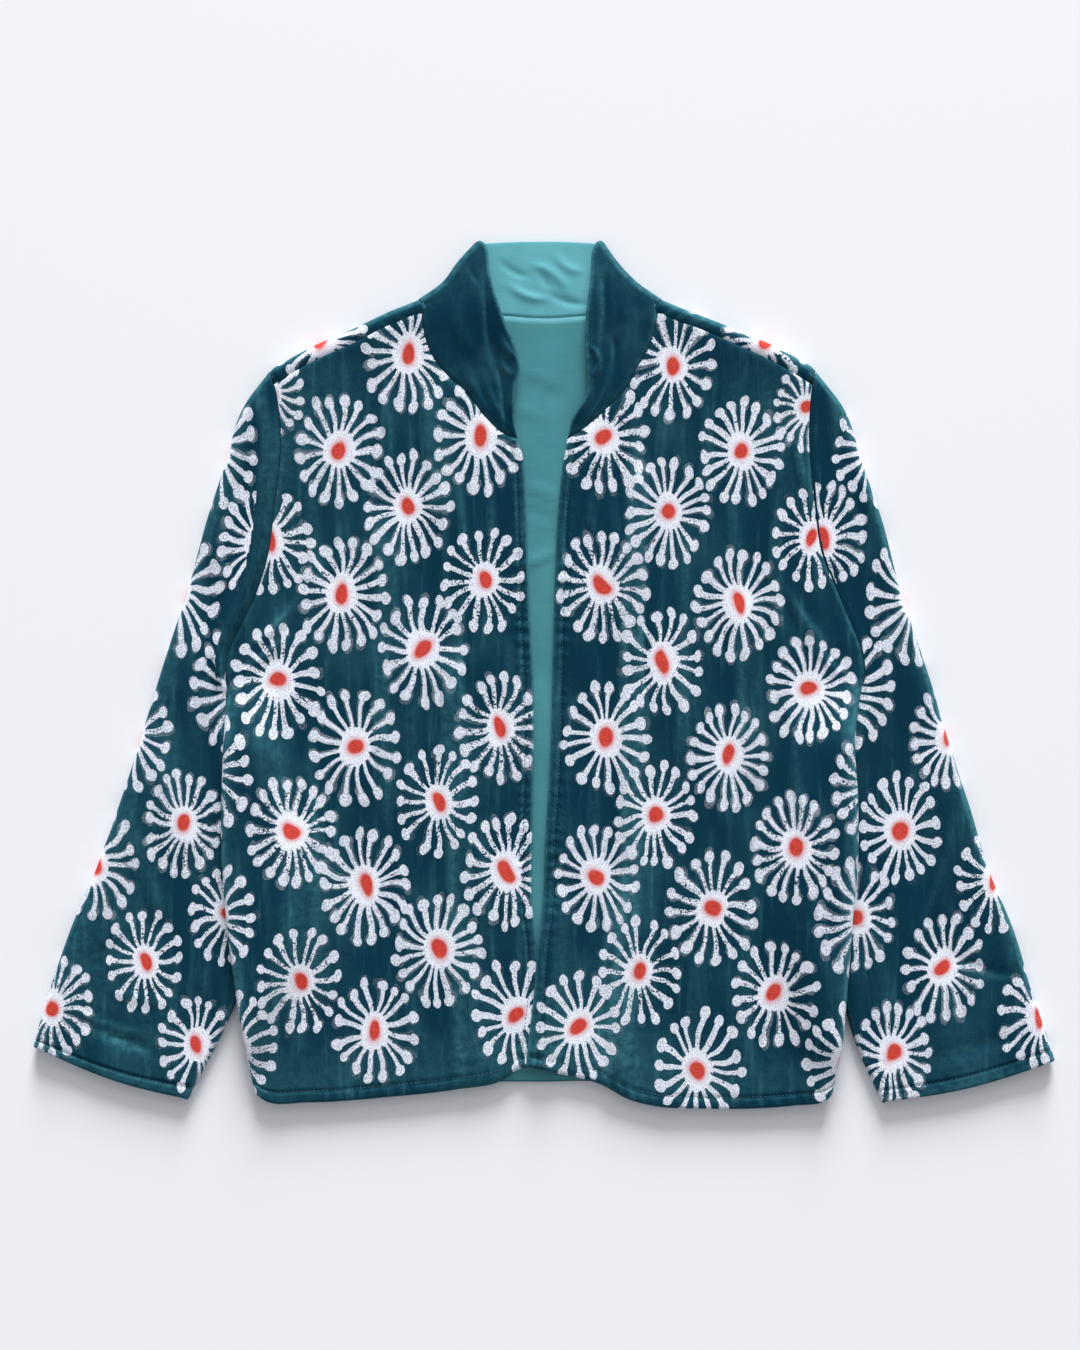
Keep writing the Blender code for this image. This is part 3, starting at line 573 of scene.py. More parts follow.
class Graph:
    """Short hand for the nodes of one material or group."""

    def __init__(self, tree: bpy.types.NodeTree) -> None:
        """Holds the tree that nodes are added to."""
        self.tree = tree

    def node(
            self, kind: str, inputs: Optional[dict[str, object]] = None, **settings: object
    ) -> bpy.types.Node:
        """Adds a node.

        Args:
            kind: the node's type.
            inputs: values or sockets by input name.
            settings: the node's own properties.

        Returns:
            The new node.
        """
        made = self.tree.nodes.new(kind)
        for name, value in settings.items():
            setattr(made, name, value)
        self.dress(made, inputs or {})
        return made

    def dress(self, node: bpy.types.Node, inputs: dict[str, object]) -> None:
        """Links or sets a node's inputs by their names."""
        for name, value in inputs.items():
            self.feed(node.inputs[name], value)

    def feed(self, socket: Socket, value: object) -> None:
        """Links a socket to an input, or sets the input's own value."""
        if isinstance(value, bpy.types.NodeSocket):
            self.tree.links.new(value, socket)
        else:
            socket.default_value = value

    def math(self, operation: str, *values: Value) -> Socket:
        """A Math node's result."""
        made = self.node("ShaderNodeMath", operation=operation)
        for socket, value in zip(made.inputs, values):
            self.feed(socket, value)
        return made.outputs[0]

    def vector(self, operation: str, *values: object) -> bpy.types.Node:
        """A Vector Math node."""
        made = self.node("ShaderNodeVectorMath", operation=operation)
        for socket, value in zip(made.inputs, values):
            self.feed(socket, value)
        return made

    def ramp(self, value: Value, low: Value, high: Value, start: float = 0.0, end: float = 1.0) -> Socket:
        """A soft ramp from start at the low value to end at the high one."""
        span = {"Value": value, "From Min": low, "From Max": high, "To Min": start, "To Max": end}
        return self.node("ShaderNodeMapRange", span, interpolation_type="SMOOTHSTEP").outputs["Result"]

    def mix(self, share: Value, first: object, second: object) -> Socket:
        """A mix of two colours."""
        made = self.node("ShaderNodeMix", data_type="RGBA")
        self.feed(made.inputs[0], share)
        self.feed(made.inputs[6], first)
        self.feed(made.inputs[7], second)
        return made.outputs[2]

    def noise(self, vector: Socket, scale: float, detail: float, roughness: float = 0.5) -> bpy.types.Node:
        """A Noise Texture node."""
        inputs = {"Vector": vector, "Scale": scale, "Detail": detail, "Roughness": roughness}
        return self.node("ShaderNodeTexNoise", inputs)

    def stretched(self, vector: Socket, scale: tuple[float, float, float]) -> Socket:
        """A vector scaled on each axis."""
        return self.node("ShaderNodeMapping", {"Vector": vector, "Scale": scale}).outputs[0]

    def uv(self, name: str) -> Socket:
        """One of the piece's UV maps."""
        return self.node("ShaderNodeUVMap", uv_map=name).outputs[0]

    def attribute(self, name: str) -> Socket:
        """One of the piece's own point values."""
        return self.node("ShaderNodeAttribute", attribute_name=name).outputs["Fac"]


def new_graph(name: str) -> tuple[bpy.types.Material, Graph, bpy.types.Node]:
    """A material with its graph and its shader."""
    material = bpy.data.materials.new(name)
    material.use_nodes = True
    return material, Graph(material.node_tree), material.node_tree.nodes["Principled BSDF"]


@dataclass(frozen=True)
class StarburstPrint:
    """Block print of a starburst flower: spokes with round tips, a pale ring and a red middle.

    Lengths are shares of the flower's radius.
    """

    spokes: int = 16
    tip: float = 0.885
    tip_spread: float = 0.12
    tip_radius: float = 0.107
    spoke_start: float = 0.042
    spoke_growth: float = 0.013
    ring: float = 0.31
    core: float = 0.152
    grains: float = 900.0
    white: Colour = (0.89, 0.92, 1.0, 1.0)
    grey: Colour = (0.30, 0.36, 0.46, 1.0)
    pink: Colour = (0.72, 0.30, 0.31, 1.0)
    red: Colour = (0.76, 0.085, 0.058, 1.0)
    dark_red: Colour = (0.44, 0.036, 0.032, 1.0)

    def group(self) -> bpy.types.NodeTree:
        """Node group from a place on the flower and its seed to its cover, core, glow and heart."""
        tree = bpy.data.node_groups.new("starburst_flower", "ShaderNodeTree")
        for name, kind in (("Place", "NodeSocketVector"), ("Seed", "NodeSocketFloat")):
            tree.interface.new_socket(name, in_out="INPUT", socket_type=kind)
        for name in ("Cover", "Core", "Glow", "Heart"):
            tree.interface.new_socket(name, in_out="OUTPUT", socket_type="NodeSocketFloat")
        graph = Graph(tree)
        given = graph.node("NodeGroupInput")
        place, seed = given.outputs["Place"], given.outputs["Seed"]
        flat = self.bent(graph, place, seed)
        radius = graph.vector("LENGTH", flat).outputs["Value"]
        spokes = self.spoke_cover(graph, flat, radius, seed)
        ring = graph.ramp(radius, self.ring - 0.05, self.ring + 0.11, 1.0, 0.0)
        full = graph.math("MULTIPLY_ADD", graph.math("FRACT", graph.math("MULTIPLY", seed, 11.3)), 0.22, 0.82)
        cover = graph.math("MULTIPLY", graph.math("MAXIMUM", spokes, ring), full)
        oval = graph.vector("MULTIPLY", flat, (1.12, 0.84, 0.0)).outputs[0]
        oval_radius = graph.vector("LENGTH", oval).outputs["Value"]
        core = graph.ramp(oval_radius, self.core - 0.03, self.core + 0.03, 1.0, 0.0)
        glow = graph.ramp(oval_radius, self.core, self.core + 0.11, 0.6, 0.0)
        graph.node("NodeGroupOutput", {"Cover": cover, "Core": core, "Glow": glow, "Heart": ring})
        return tree

    @staticmethod
    def bent(graph: Graph, place: Socket, seed: Socket) -> Socket:
        """A place on the flower, moved a little so that the spokes bend."""
        shift = graph.node("ShaderNodeCombineXYZ", {"X": graph.math("MULTIPLY", seed, 37.0), "Y": seed})
        moved = graph.vector("ADD", place, shift.outputs[0]).outputs[0]
        warp = graph.noise(moved, 1.9, 0.0).outputs["Color"]
        centred = graph.vector("SUBTRACT", warp, (0.5, 0.5, 0.5)).outputs[0]
        drift = graph.vector("MULTIPLY", centred, (0.20, 0.20, 0.0)).outputs[0]
        return graph.vector("ADD", place, drift).outputs[0]

    def spoke_cover(self, graph: Graph, flat: Socket, radius: Socket, seed: Socket) -> Socket:
        """How much the spokes and their round tips cover a place.

        Args:
            graph: the group's graph.
            flat: the place on the flower.
            radius: its distance from the middle.
            seed: the flower's seed.

        Returns:
            The cover, from 0 to 1.
        """
        axes = graph.node("ShaderNodeSeparateXYZ", {"Vector": flat})
        angle = graph.math("ARCTAN2", axes.outputs[1], axes.outputs[0])
        share = graph.math("MULTIPLY_ADD", angle, 0.5 / math.pi, 0.5)
        extra = graph.math("FLOOR", graph.math("MULTIPLY", seed, 2.999))
        count = graph.math("ADD", extra, float(self.spokes))
        turn = graph.math("MULTIPLY", share, count)
        key = graph.node(
            "ShaderNodeCombineXYZ", {"X": graph.math("FLOOR", turn), "Y": graph.math("MULTIPLY", seed, 61.7)})
        chance = graph.node("ShaderNodeTexWhiteNoise", {"Vector": key.outputs[0]}, noise_dimensions="2D")
        rolls = graph.node("ShaderNodeSeparateColor", {"Color": chance.outputs["Color"]})
        aside = graph.math("MULTIPLY_ADD", rolls.outputs[0], 0.26, 0.37)
        nearest_tip = self.tip - 0.5 * self.tip_spread
        reach = graph.math("MULTIPLY_ADD", rolls.outputs[1], self.tip_spread, nearest_tip)
        stout = graph.math("MULTIPLY_ADD", rolls.outputs[2], 0.35, 0.82)
        off = graph.math("SUBTRACT", graph.math("FRACT", turn), aside)
        arc = graph.math("DIVIDE", graph.math("MULTIPLY", off, 2 * math.pi), count)
        beside = graph.math("ABSOLUTE", graph.math("MULTIPLY", radius, graph.math("SINE", arc)))
        growth = graph.ramp(radius, 0.25, 0.9, 0.0, self.spoke_growth)
        width = graph.math("MULTIPLY", graph.math("ADD", growth, self.spoke_start), stout)
        edges = (graph.math("MULTIPLY", width, 0.82), graph.math("MULTIPLY", width, 1.14))
        body = graph.ramp(beside, *edges, 1.0, 0.0)
        middle = graph.math("ABSOLUTE", graph.math("SUBTRACT", radius, 0.56))
        thin = graph.math("MULTIPLY", body, graph.ramp(middle, 0.08, 0.32, 0.71, 0.95))
        past = graph.math("SUBTRACT", radius, reach)
        spoke = graph.math("MULTIPLY", thin, graph.ramp(past, 0.0, 0.05, 1.0, 0.0))
        squares = graph.math("MULTIPLY", beside, beside)
        from_tip = graph.math("SQRT", graph.math("MULTIPLY_ADD", past, past, squares))
        tip = graph.ramp(from_tip, 0.90 * self.tip_radius, 1.06 * self.tip_radius, 0.96, 0.0)
        return graph.math("MAXIMUM", spoke, tip)

    def colour(self, graph: Graph, ground: Socket) -> Socket:
        """Prints the flowers on the cloth's own colour.

        Args:
            graph: the material's graph.
            ground: the colour of the bare cloth.

        Returns:
            The printed colour.
        """
        tree = self.group()
        seeds = graph.node("ShaderNodeSeparateXYZ", {"Vector": graph.uv("seeds")})
        flowers = []
        for name, seed in (("nearest", seeds.outputs[0]), ("second", seeds.outputs[1])):
            flower = graph.node("ShaderNodeGroup", node_tree=tree)
            graph.feed(flower.inputs["Place"], graph.uv(name))
            graph.feed(flower.inputs["Seed"], seed)
            flowers.append(flower.outputs)
        cover, core, glow, heart = (
            graph.math("MAXIMUM", flowers[0][name], flowers[1][name])
            for name in ("Cover", "Core", "Glow", "Heart"))
        pattern = graph.uv("pattern")
        dots = graph.node(
            "ShaderNodeTexVoronoi", {"Vector": pattern, "Scale": self.grains}, voronoi_dimensions="2D")
        grain = graph.node("ShaderNodeSeparateColor", {"Color": dots.outputs["Color"]}).outputs[0]
        patches = graph.noise(pattern, 120.0, 2.0).outputs["Fac"]
        inked = graph.math("MULTIPLY", cover, graph.math("MULTIPLY_ADD", patches, 0.7, 0.65))
        density = graph.math("ADD", inked, graph.math("MULTIPLY_ADD", grain, 0.46, -0.70))
        share = graph.ramp(density, -0.05, 0.05)
        beads = graph.ramp(dots.outputs["Distance"], 0.20, 0.70, 1.0, 0.0)
        bright = graph.math("MULTIPLY_ADD", grain, 0.34, graph.math("MULTIPLY", beads, 0.82))
        bright = graph.math("MULTIPLY_ADD", heart, 0.35, bright)
        pale = graph.mix(bright, self.grey, self.white)
        pale = graph.mix(glow, pale, self.pink)
        blotch = graph.math("MULTIPLY_ADD", grain, 0.6, graph.math("MULTIPLY", beads, 0.45))
        warm = graph.mix(blotch, self.dark_red, self.red)
        ink = graph.mix(core, pale, warm)
        return graph.mix(graph.math("MAXIMUM", share, core), ground, ink)


@dataclass(frozen=True)
class VelvetFinish:
    """Cut silk pile: dark face on, with random streaks and clouds, and a point attribute of painted light:
    painted sheen where the cloth turns away, painted highlights and painted shade.
    """

    name: str
    deep: Colour = (0.0030, 0.0345, 0.0610, 1.0)
    # Colour where the painted light and tone are full.
    painted_light_and_tone: Colour = (0.0400, 0.1600, 0.1980, 1.0)
    sheen: Colour = (0.22, 0.68, 0.80, 1.0)
    streak: float = 0.40
    cloud: float = 0.18
    flowers: Optional[StarburstPrint] = None

    def material(self) -> bpy.types.Material:
        """Builds the material."""
        material, graph, shader = new_graph(self.name)
        pattern = graph.uv("pattern")
        streaks = graph.noise(graph.stretched(pattern, (1.0, 0.11, 1.0)), 130.0, 4.0, 0.6).outputs["Fac"]
        clouds = graph.noise(pattern, 16.0, 3.0, 0.55).outputs["Fac"]
        pile = graph.noise(pattern, 800.0, 3.0, 0.75).outputs["Fac"]
        long_light = graph.ramp(streaks, 0.50, 0.80, 0.0, self.streak)
        tone_with_painted_light = graph.math("ADD", long_light, graph.ramp(clouds, 0.42, 0.76, 0.0, self.cloud))
        tone_with_painted_light = graph.math("ADD", tone_with_painted_light, graph.math("MULTIPLY_ADD", pile, 0.44, -0.22))
        # The point attribute adds painted light and shade, with the wide tone patches, made uneven by the
        # mottle.
        mottle = graph.noise(pattern, 150.0, 5.0, 0.68).outputs["Fac"]
        uneven = graph.ramp(mottle, 0.30, 0.72, 0.35, 1.5)
        tone_with_painted_light = graph.math("ADD", tone_with_painted_light, graph.math("MULTIPLY", graph.attribute("painted_light_and_tone"), uneven))
        lightness = graph.math("MINIMUM", graph.math("MAXIMUM", tone_with_painted_light, 0.0), 1.0)
        ground = graph.mix(lightness, self.deep, self.painted_light_and_tone)
        if self.flowers:
            ground = self.flowers.colour(graph, ground)
        bump = graph.node("ShaderNodeBump", {"Strength": 0.35, "Distance": 0.0004, "Height": pile})
        graph.dress(shader, {
            "Base Color": ground, "Normal": bump.outputs["Normal"],
            "Roughness": 0.9, "Specular IOR Level": 0.03,
            "Sheen Weight": 0.12, "Sheen Roughness": 0.32, "Sheen Tint": self.sheen,
        })
        return material


@dataclass(frozen=True)
class LiningFinish:
    """Fine plain weave with a soft lustre."""

    name: str
    colour: Colour = (0.067, 0.285, 0.320, 1.0)
    shade: Colour = (0.048, 0.220, 0.255, 1.0)
    threads: float = 2600.0

    def material(self) -> bpy.types.Material:
        """Builds the material."""
        material, graph, shader = new_graph(self.name)
        pattern = graph.uv("pattern")
        axes = graph.node("ShaderNodeSeparateXYZ", {"Vector": pattern})
        warp = graph.math("SINE", graph.math("MULTIPLY", axes.outputs[0], self.threads))
        weft = graph.math("SINE", graph.math("MULTIPLY", axes.outputs[1], self.threads))
        weave = graph.math("MULTIPLY", warp, weft)
        slubs = graph.noise(graph.stretched(pattern, (0.08, 1.0, 1.0)), 900.0, 2.0).outputs["Fac"]
        clouds = graph.noise(pattern, 18.0, 3.0).outputs["Fac"]
        cloudy = graph.ramp(clouds, 0.3, 0.7, 0.0, 0.75)
        slubby = graph.ramp(slubs, 0.35, 0.65, 0.0, 0.25)
        tone = graph.mix(graph.math("ADD", cloudy, slubby), self.shade, self.colour)
        height = graph.math("MULTIPLY_ADD", slubs, 0.6, graph.math("MULTIPLY", weave, 0.25))
        bump = graph.node("ShaderNodeBump", {"Strength": 0.25, "Distance": 0.0003, "Height": height})
        graph.dress(shader, {
            "Base Color": tone, "Normal": bump.outputs["Normal"], "Roughness": 0.62,
            "Specular IOR Level": 0.25, "Sheen Weight": 0.08,
        })
        return material


@dataclass(frozen=True)
class ThreadFinish:
    """Sewing thread of two plies."""

    name: str
    colour: Colour = (0.010, 0.052, 0.075, 1.0)
    light: Colour = (0.030, 0.110, 0.140, 1.0)

    def material(self) -> bpy.types.Material:
        """Builds the material."""
        material, graph, shader = new_graph(self.name)
        place = graph.node("ShaderNodeTexCoord").outputs["Object"]
        twist = graph.noise(place, 2400.0, 1.0).outputs["Fac"]
        tone = graph.mix(graph.ramp(twist, 0.35, 0.65), self.colour, self.light)
        bump = graph.node("ShaderNodeBump", {"Strength": 0.3, "Distance": 0.0002, "Height": twist})
        graph.dress(shader, {"Base Color": tone, "Normal": bump.outputs["Normal"], "Roughness": 0.55})
        return material


@dataclass(frozen=True)
class FloorFinish:
    """Matt pale paper."""

    name: str
    colour: Colour = (0.90, 0.905, 0.94, 1.0)
    shade: Colour = (0.885, 0.89, 0.925, 1.0)

    def material(self) -> bpy.types.Material:
        """Builds the material."""
        material, graph, shader = new_graph(self.name)
        place = graph.node("ShaderNodeTexCoord").outputs["Object"]
        fibre = graph.noise(place, 400.0, 3.0).outputs["Fac"]
        tone = graph.mix(fibre, self.shade, self.colour)
        graph.dress(shader, {"Base Color": tone, "Roughness": 0.9, "Specular IOR Level": 0.1})
        return material


def finished(name: str, shape: bmesh.types.BMesh) -> bpy.types.Mesh:
    """A mesh of a bmesh, which is freed."""
    mesh = bpy.data.meshes.new(name)
    shape.to_mesh(mesh)
    shape.free()
    return mesh


def placed(name: str, data: bpy.types.ID) -> bpy.types.Object:
    """A new object in the scene, at the origin."""
    made = bpy.data.objects.new(name, data)
    bpy.context.scene.collection.objects.link(made)
    return made


@dataclass
class Laid:
    """A panel as laid: its outer points, its flat pattern, its painted light and shade with the wide tone
    patches, and which cells it has.
    """

    points: Array
    flat: Array
    painted_light_and_tone: Array
    keep: Optional[Array] = None
    bare: Optional[Array] = None

    def painted_slope_light(self, turned: bool) -> Array:
        """Painted light from the slopes: a painted highlight on slopes that face right or towards the collar,
        where the light comes from, painted shade on those that face away, and painted sheen on steep ones.
        """
        normal = np.cross(np.gradient(self.points, axis=1), np.gradient(self.points, axis=0))
        normal /= np.maximum(np.linalg.norm(normal, axis=2), 1e-9)[..., None]
        normal *= -1.0 if turned else 1.0
        slope = np.hypot(normal[..., 0], normal[..., 1])
        aside = np.clip(0.62 * normal[..., 0] + 0.42 * normal[..., 1], -0.22, 0.34)
        return aside + 0.40 * smooth_step(0.10, 0.70, slope)


@dataclass
class ClothPiece:
    """A panel of cloth that stands for one solid."""

    node: str
    slot: str
    outside: bpy.types.Material
    inside: bpy.types.Material
    wall: float = 1.8
    turned: bool = False
    ring: bool = False
    flower_wide: float = 36.2
    flower_tall: float = 45.6
    slope_light_share: float = 1.0

    def lay(self) -> Laid:
        """Works out the panel as laid."""
        raise NotImplementedError

    def motifs(self) -> list[Motif]:
        """Middles of the flowers printed on the panel."""
        return []

    def build(self) -> bpy.types.Object:
        """Builds the panel's shell, dresses it, hangs it under the root and hides its solid.

        Returns:
            The panel's object.
        """
        laid = self.lay()
        mesh = self.shell(laid)
        if self.ring:
            self.close_tube(mesh)
        mesh.materials.append(self.outside)
        mesh.materials.append(self.inside)
        mesh.polygons.foreach_set("use_smooth", np.ones(len(mesh.polygons), bool))
        panel = placed(self.node + "_cloth", mesh)
        thicken = panel.modifiers.new("wall", "SOLIDIFY")
        thicken.thickness = self.wall * MM
        thicken.offset = -1.0
        thicken.material_offset = 1
        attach(panel, "root")
        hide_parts(self.node)
        self.declare(panel, laid)
        return panel

    def declare(self, panel: bpy.types.Object, laid: Laid) -> None:
        """Adds the pieces sewn on the panel."""
        self.trims(laid)

    def trims(self, laid: Laid) -> list[bpy.types.Object]:
        """Pieces sewn on the panel."""
        return []

    def shell(self, laid: Laid) -> bpy.types.Mesh:
        """Mesh of the panel's outer face, with its pattern as UV maps.

        Args:
            laid: the panel as laid.

        Returns:
            The mesh.
        """
        rows, columns = laid.points.shape[:2]
        cloth = bmesh.new()
        bmesh.ops.create_grid(cloth, x_segments=columns - 1, y_segments=rows - 1, size=1.0)
        cloth.verts.ensure_lookup_table()
        cloth.faces.ensure_lookup_table()
        if laid.keep is not None:
            gone = [cloth.faces[index] for index in np.flatnonzero(~laid.keep.reshape(-1))]
        places = cloth.verts.layers.int.new("place")
        for index, point in enumerate((laid.points.reshape(-1, 3) - MIDDLE) * MM):
            cloth.verts[index].co = point
            cloth.verts[index][places] = index
        if laid.keep is not None:
            bmesh.ops.delete(cloth, geom=gone, context="FACES")
        if self.turned:
            bmesh.ops.reverse_faces(cloth, faces=cloth.faces[:])
        mesh = finished(self.node + "_cloth", cloth)
        place = np.empty(len(mesh.vertices), np.int32)
        mesh.attributes["place"].data.foreach_get("value", place)
        mesh.attributes.remove(mesh.attributes["place"])
        corner = np.empty(len(mesh.loops), np.int32)
        mesh.loops.foreach_get("vertex_index", corner)
        # Painted light and shade for each point, with the slopes' painted light added.
        tone_with_painted_light = mesh.attributes.new("painted_light_and_tone", "FLOAT", "POINT")
        painted_light_and_tone = laid.painted_light_and_tone + self.slope_light_share * laid.painted_slope_light(self.turned)
        tone_with_painted_light.data.foreach_set("value", painted_light_and_tone.reshape(-1)[place].astype(np.float32))
        flat = laid.flat.reshape(-1, 2)[place][corner]
        self.write_uv(mesh, "pattern", flat * MM)
        if self.motifs():
            bare = np.zeros(laid.painted_light_and_tone.shape, bool) if laid.bare is None else laid.bare
            self.print_flowers(mesh, flat, bare.reshape(-1)[place][corner])
        return mesh

    @staticmethod
    def write_uv(mesh: bpy.types.Mesh, name: str, places: Array) -> None:
        """Adds a UV map with a place for each corner."""
        layer = mesh.uv_layers.new(name=name)
        layer.data.foreach_set("uv", np.ascontiguousarray(places, np.float32).reshape(-1))

    def print_flowers(self, mesh: bpy.types.Mesh, flat: Array, bare: Array) -> None:
        """Gives each face its place on the nearest flower and on the second nearest.

        Args:
            mesh: the panel's mesh of four-sided faces.
            flat: the flat pattern at each corner.
            bare: whether a corner is on unprinted cloth.
        """
        middles = np.array([(motif.x, motif.y) for motif in self.motifs()])
        index = np.arange(len(middles))
        mixed = np.sin(index * 12.9898 + middles[:, 0] * 0.731 + middles[:, 1] * 0.317)
        seeds = np.modf(np.abs(mixed * 437.585))[0]
        scale = np.array([motif.size for motif in self.motifs()]) * (0.95 + 0.11 * np.modf(seeds * 7.31)[0])
        size = np.array([self.flower_wide, self.flower_tall]) * scale[:, None]
        faces = flat.reshape(-1, 4, 2)
        away = np.linalg.norm((faces.mean(axis=1)[:, None] - middles[None]) / size[None], axis=2)
        order = np.argsort(away, axis=1)[:, :2]
        for rank, name in enumerate(("nearest", "second")):
            chosen = order[:, rank]
            local = (faces - middles[chosen][:, None]) / size[chosen][:, None]
            turn = 2 * math.pi * np.modf(seeds[chosen] * 3.17)[0][:, None]
            x = local[..., 0] * np.cos(turn) - local[..., 1] * np.sin(turn)
            y = local[..., 0] * np.sin(turn) + local[..., 1] * np.cos(turn)
            places = np.stack([x, y], axis=2)
            places[bare.reshape(-1, 4).any(axis=1)] = OFF_FLOWER
            self.write_uv(mesh, name, places)
        self.write_uv(mesh, "seeds", np.repeat(seeds[order][:, None], 4, axis=1))

    @staticmethod
    def close_tube(mesh: bpy.types.Mesh) -> None:
        """Welds the two edges of a tube's seam."""
        cloth = bmesh.new()
        cloth.from_mesh(mesh)
        bmesh.ops.remove_doubles(cloth, verts=cloth.verts[:], dist=1e-6)
        cloth.to_mesh(mesh)
        cloth.free()


@dataclass
class StitchRow:
    """A row of stitches that lies in a groove of the cloth."""

    name: str
    thread: bpy.types.Material
    pitch: float = 3.4
    length: float = 2.5
    width: float = 0.75
    sunk: float = 0.1
    overhang: float = 0.2

    def build(self, lines: Sequence[Array]) -> bpy.types.Object:
        """Sews stitches along lines of points.

        Args:
            lines: points of each line, in millimetres.

        Returns:
            The object with all the stitches.
        """
        sewn = bmesh.new()
        for line in lines:
            keys = lengths_along(line)
            places = np.arange(0.5 * self.pitch, keys[-1], self.pitch)
            for place in places:
                ends = [
                    np.array([np.interp(place + offset, keys, line[:, axis]) for axis in range(3)])
                    for offset in (-0.5 * self.length, 0.5 * self.length)
                ]
                self.stitch(sewn, *ends)
        mesh = finished(self.name, sewn)
        mesh.materials.append(self.thread)
        mesh.polygons.foreach_set("use_smooth", np.ones(len(mesh.polygons), bool))
        row = placed(self.name, mesh)
        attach(row, "root")
        return row

    def stitch(self, sewn: bmesh.types.BMesh, first: Array, last: Array) -> None:
        """Adds one stitch between two points."""
        run = Vector((last - first) * MM)
        middle = Vector((0.5 * (first + last) - MIDDLE - (0.0, 0.0, self.sunk)) * MM)
        turn = run.to_track_quat("X", "Z").to_matrix().to_4x4()
        half_length = 0.5 * run.length + self.overhang * MM
        size = Matrix.Diagonal((half_length, 0.5 * self.width * MM, 0.42 * self.width * MM, 1.0))
        bmesh.ops.create_uvsphere(
            sewn, u_segments=6, v_segments=4, radius=1.0, matrix=Matrix.Translation(middle) @ turn @ size)


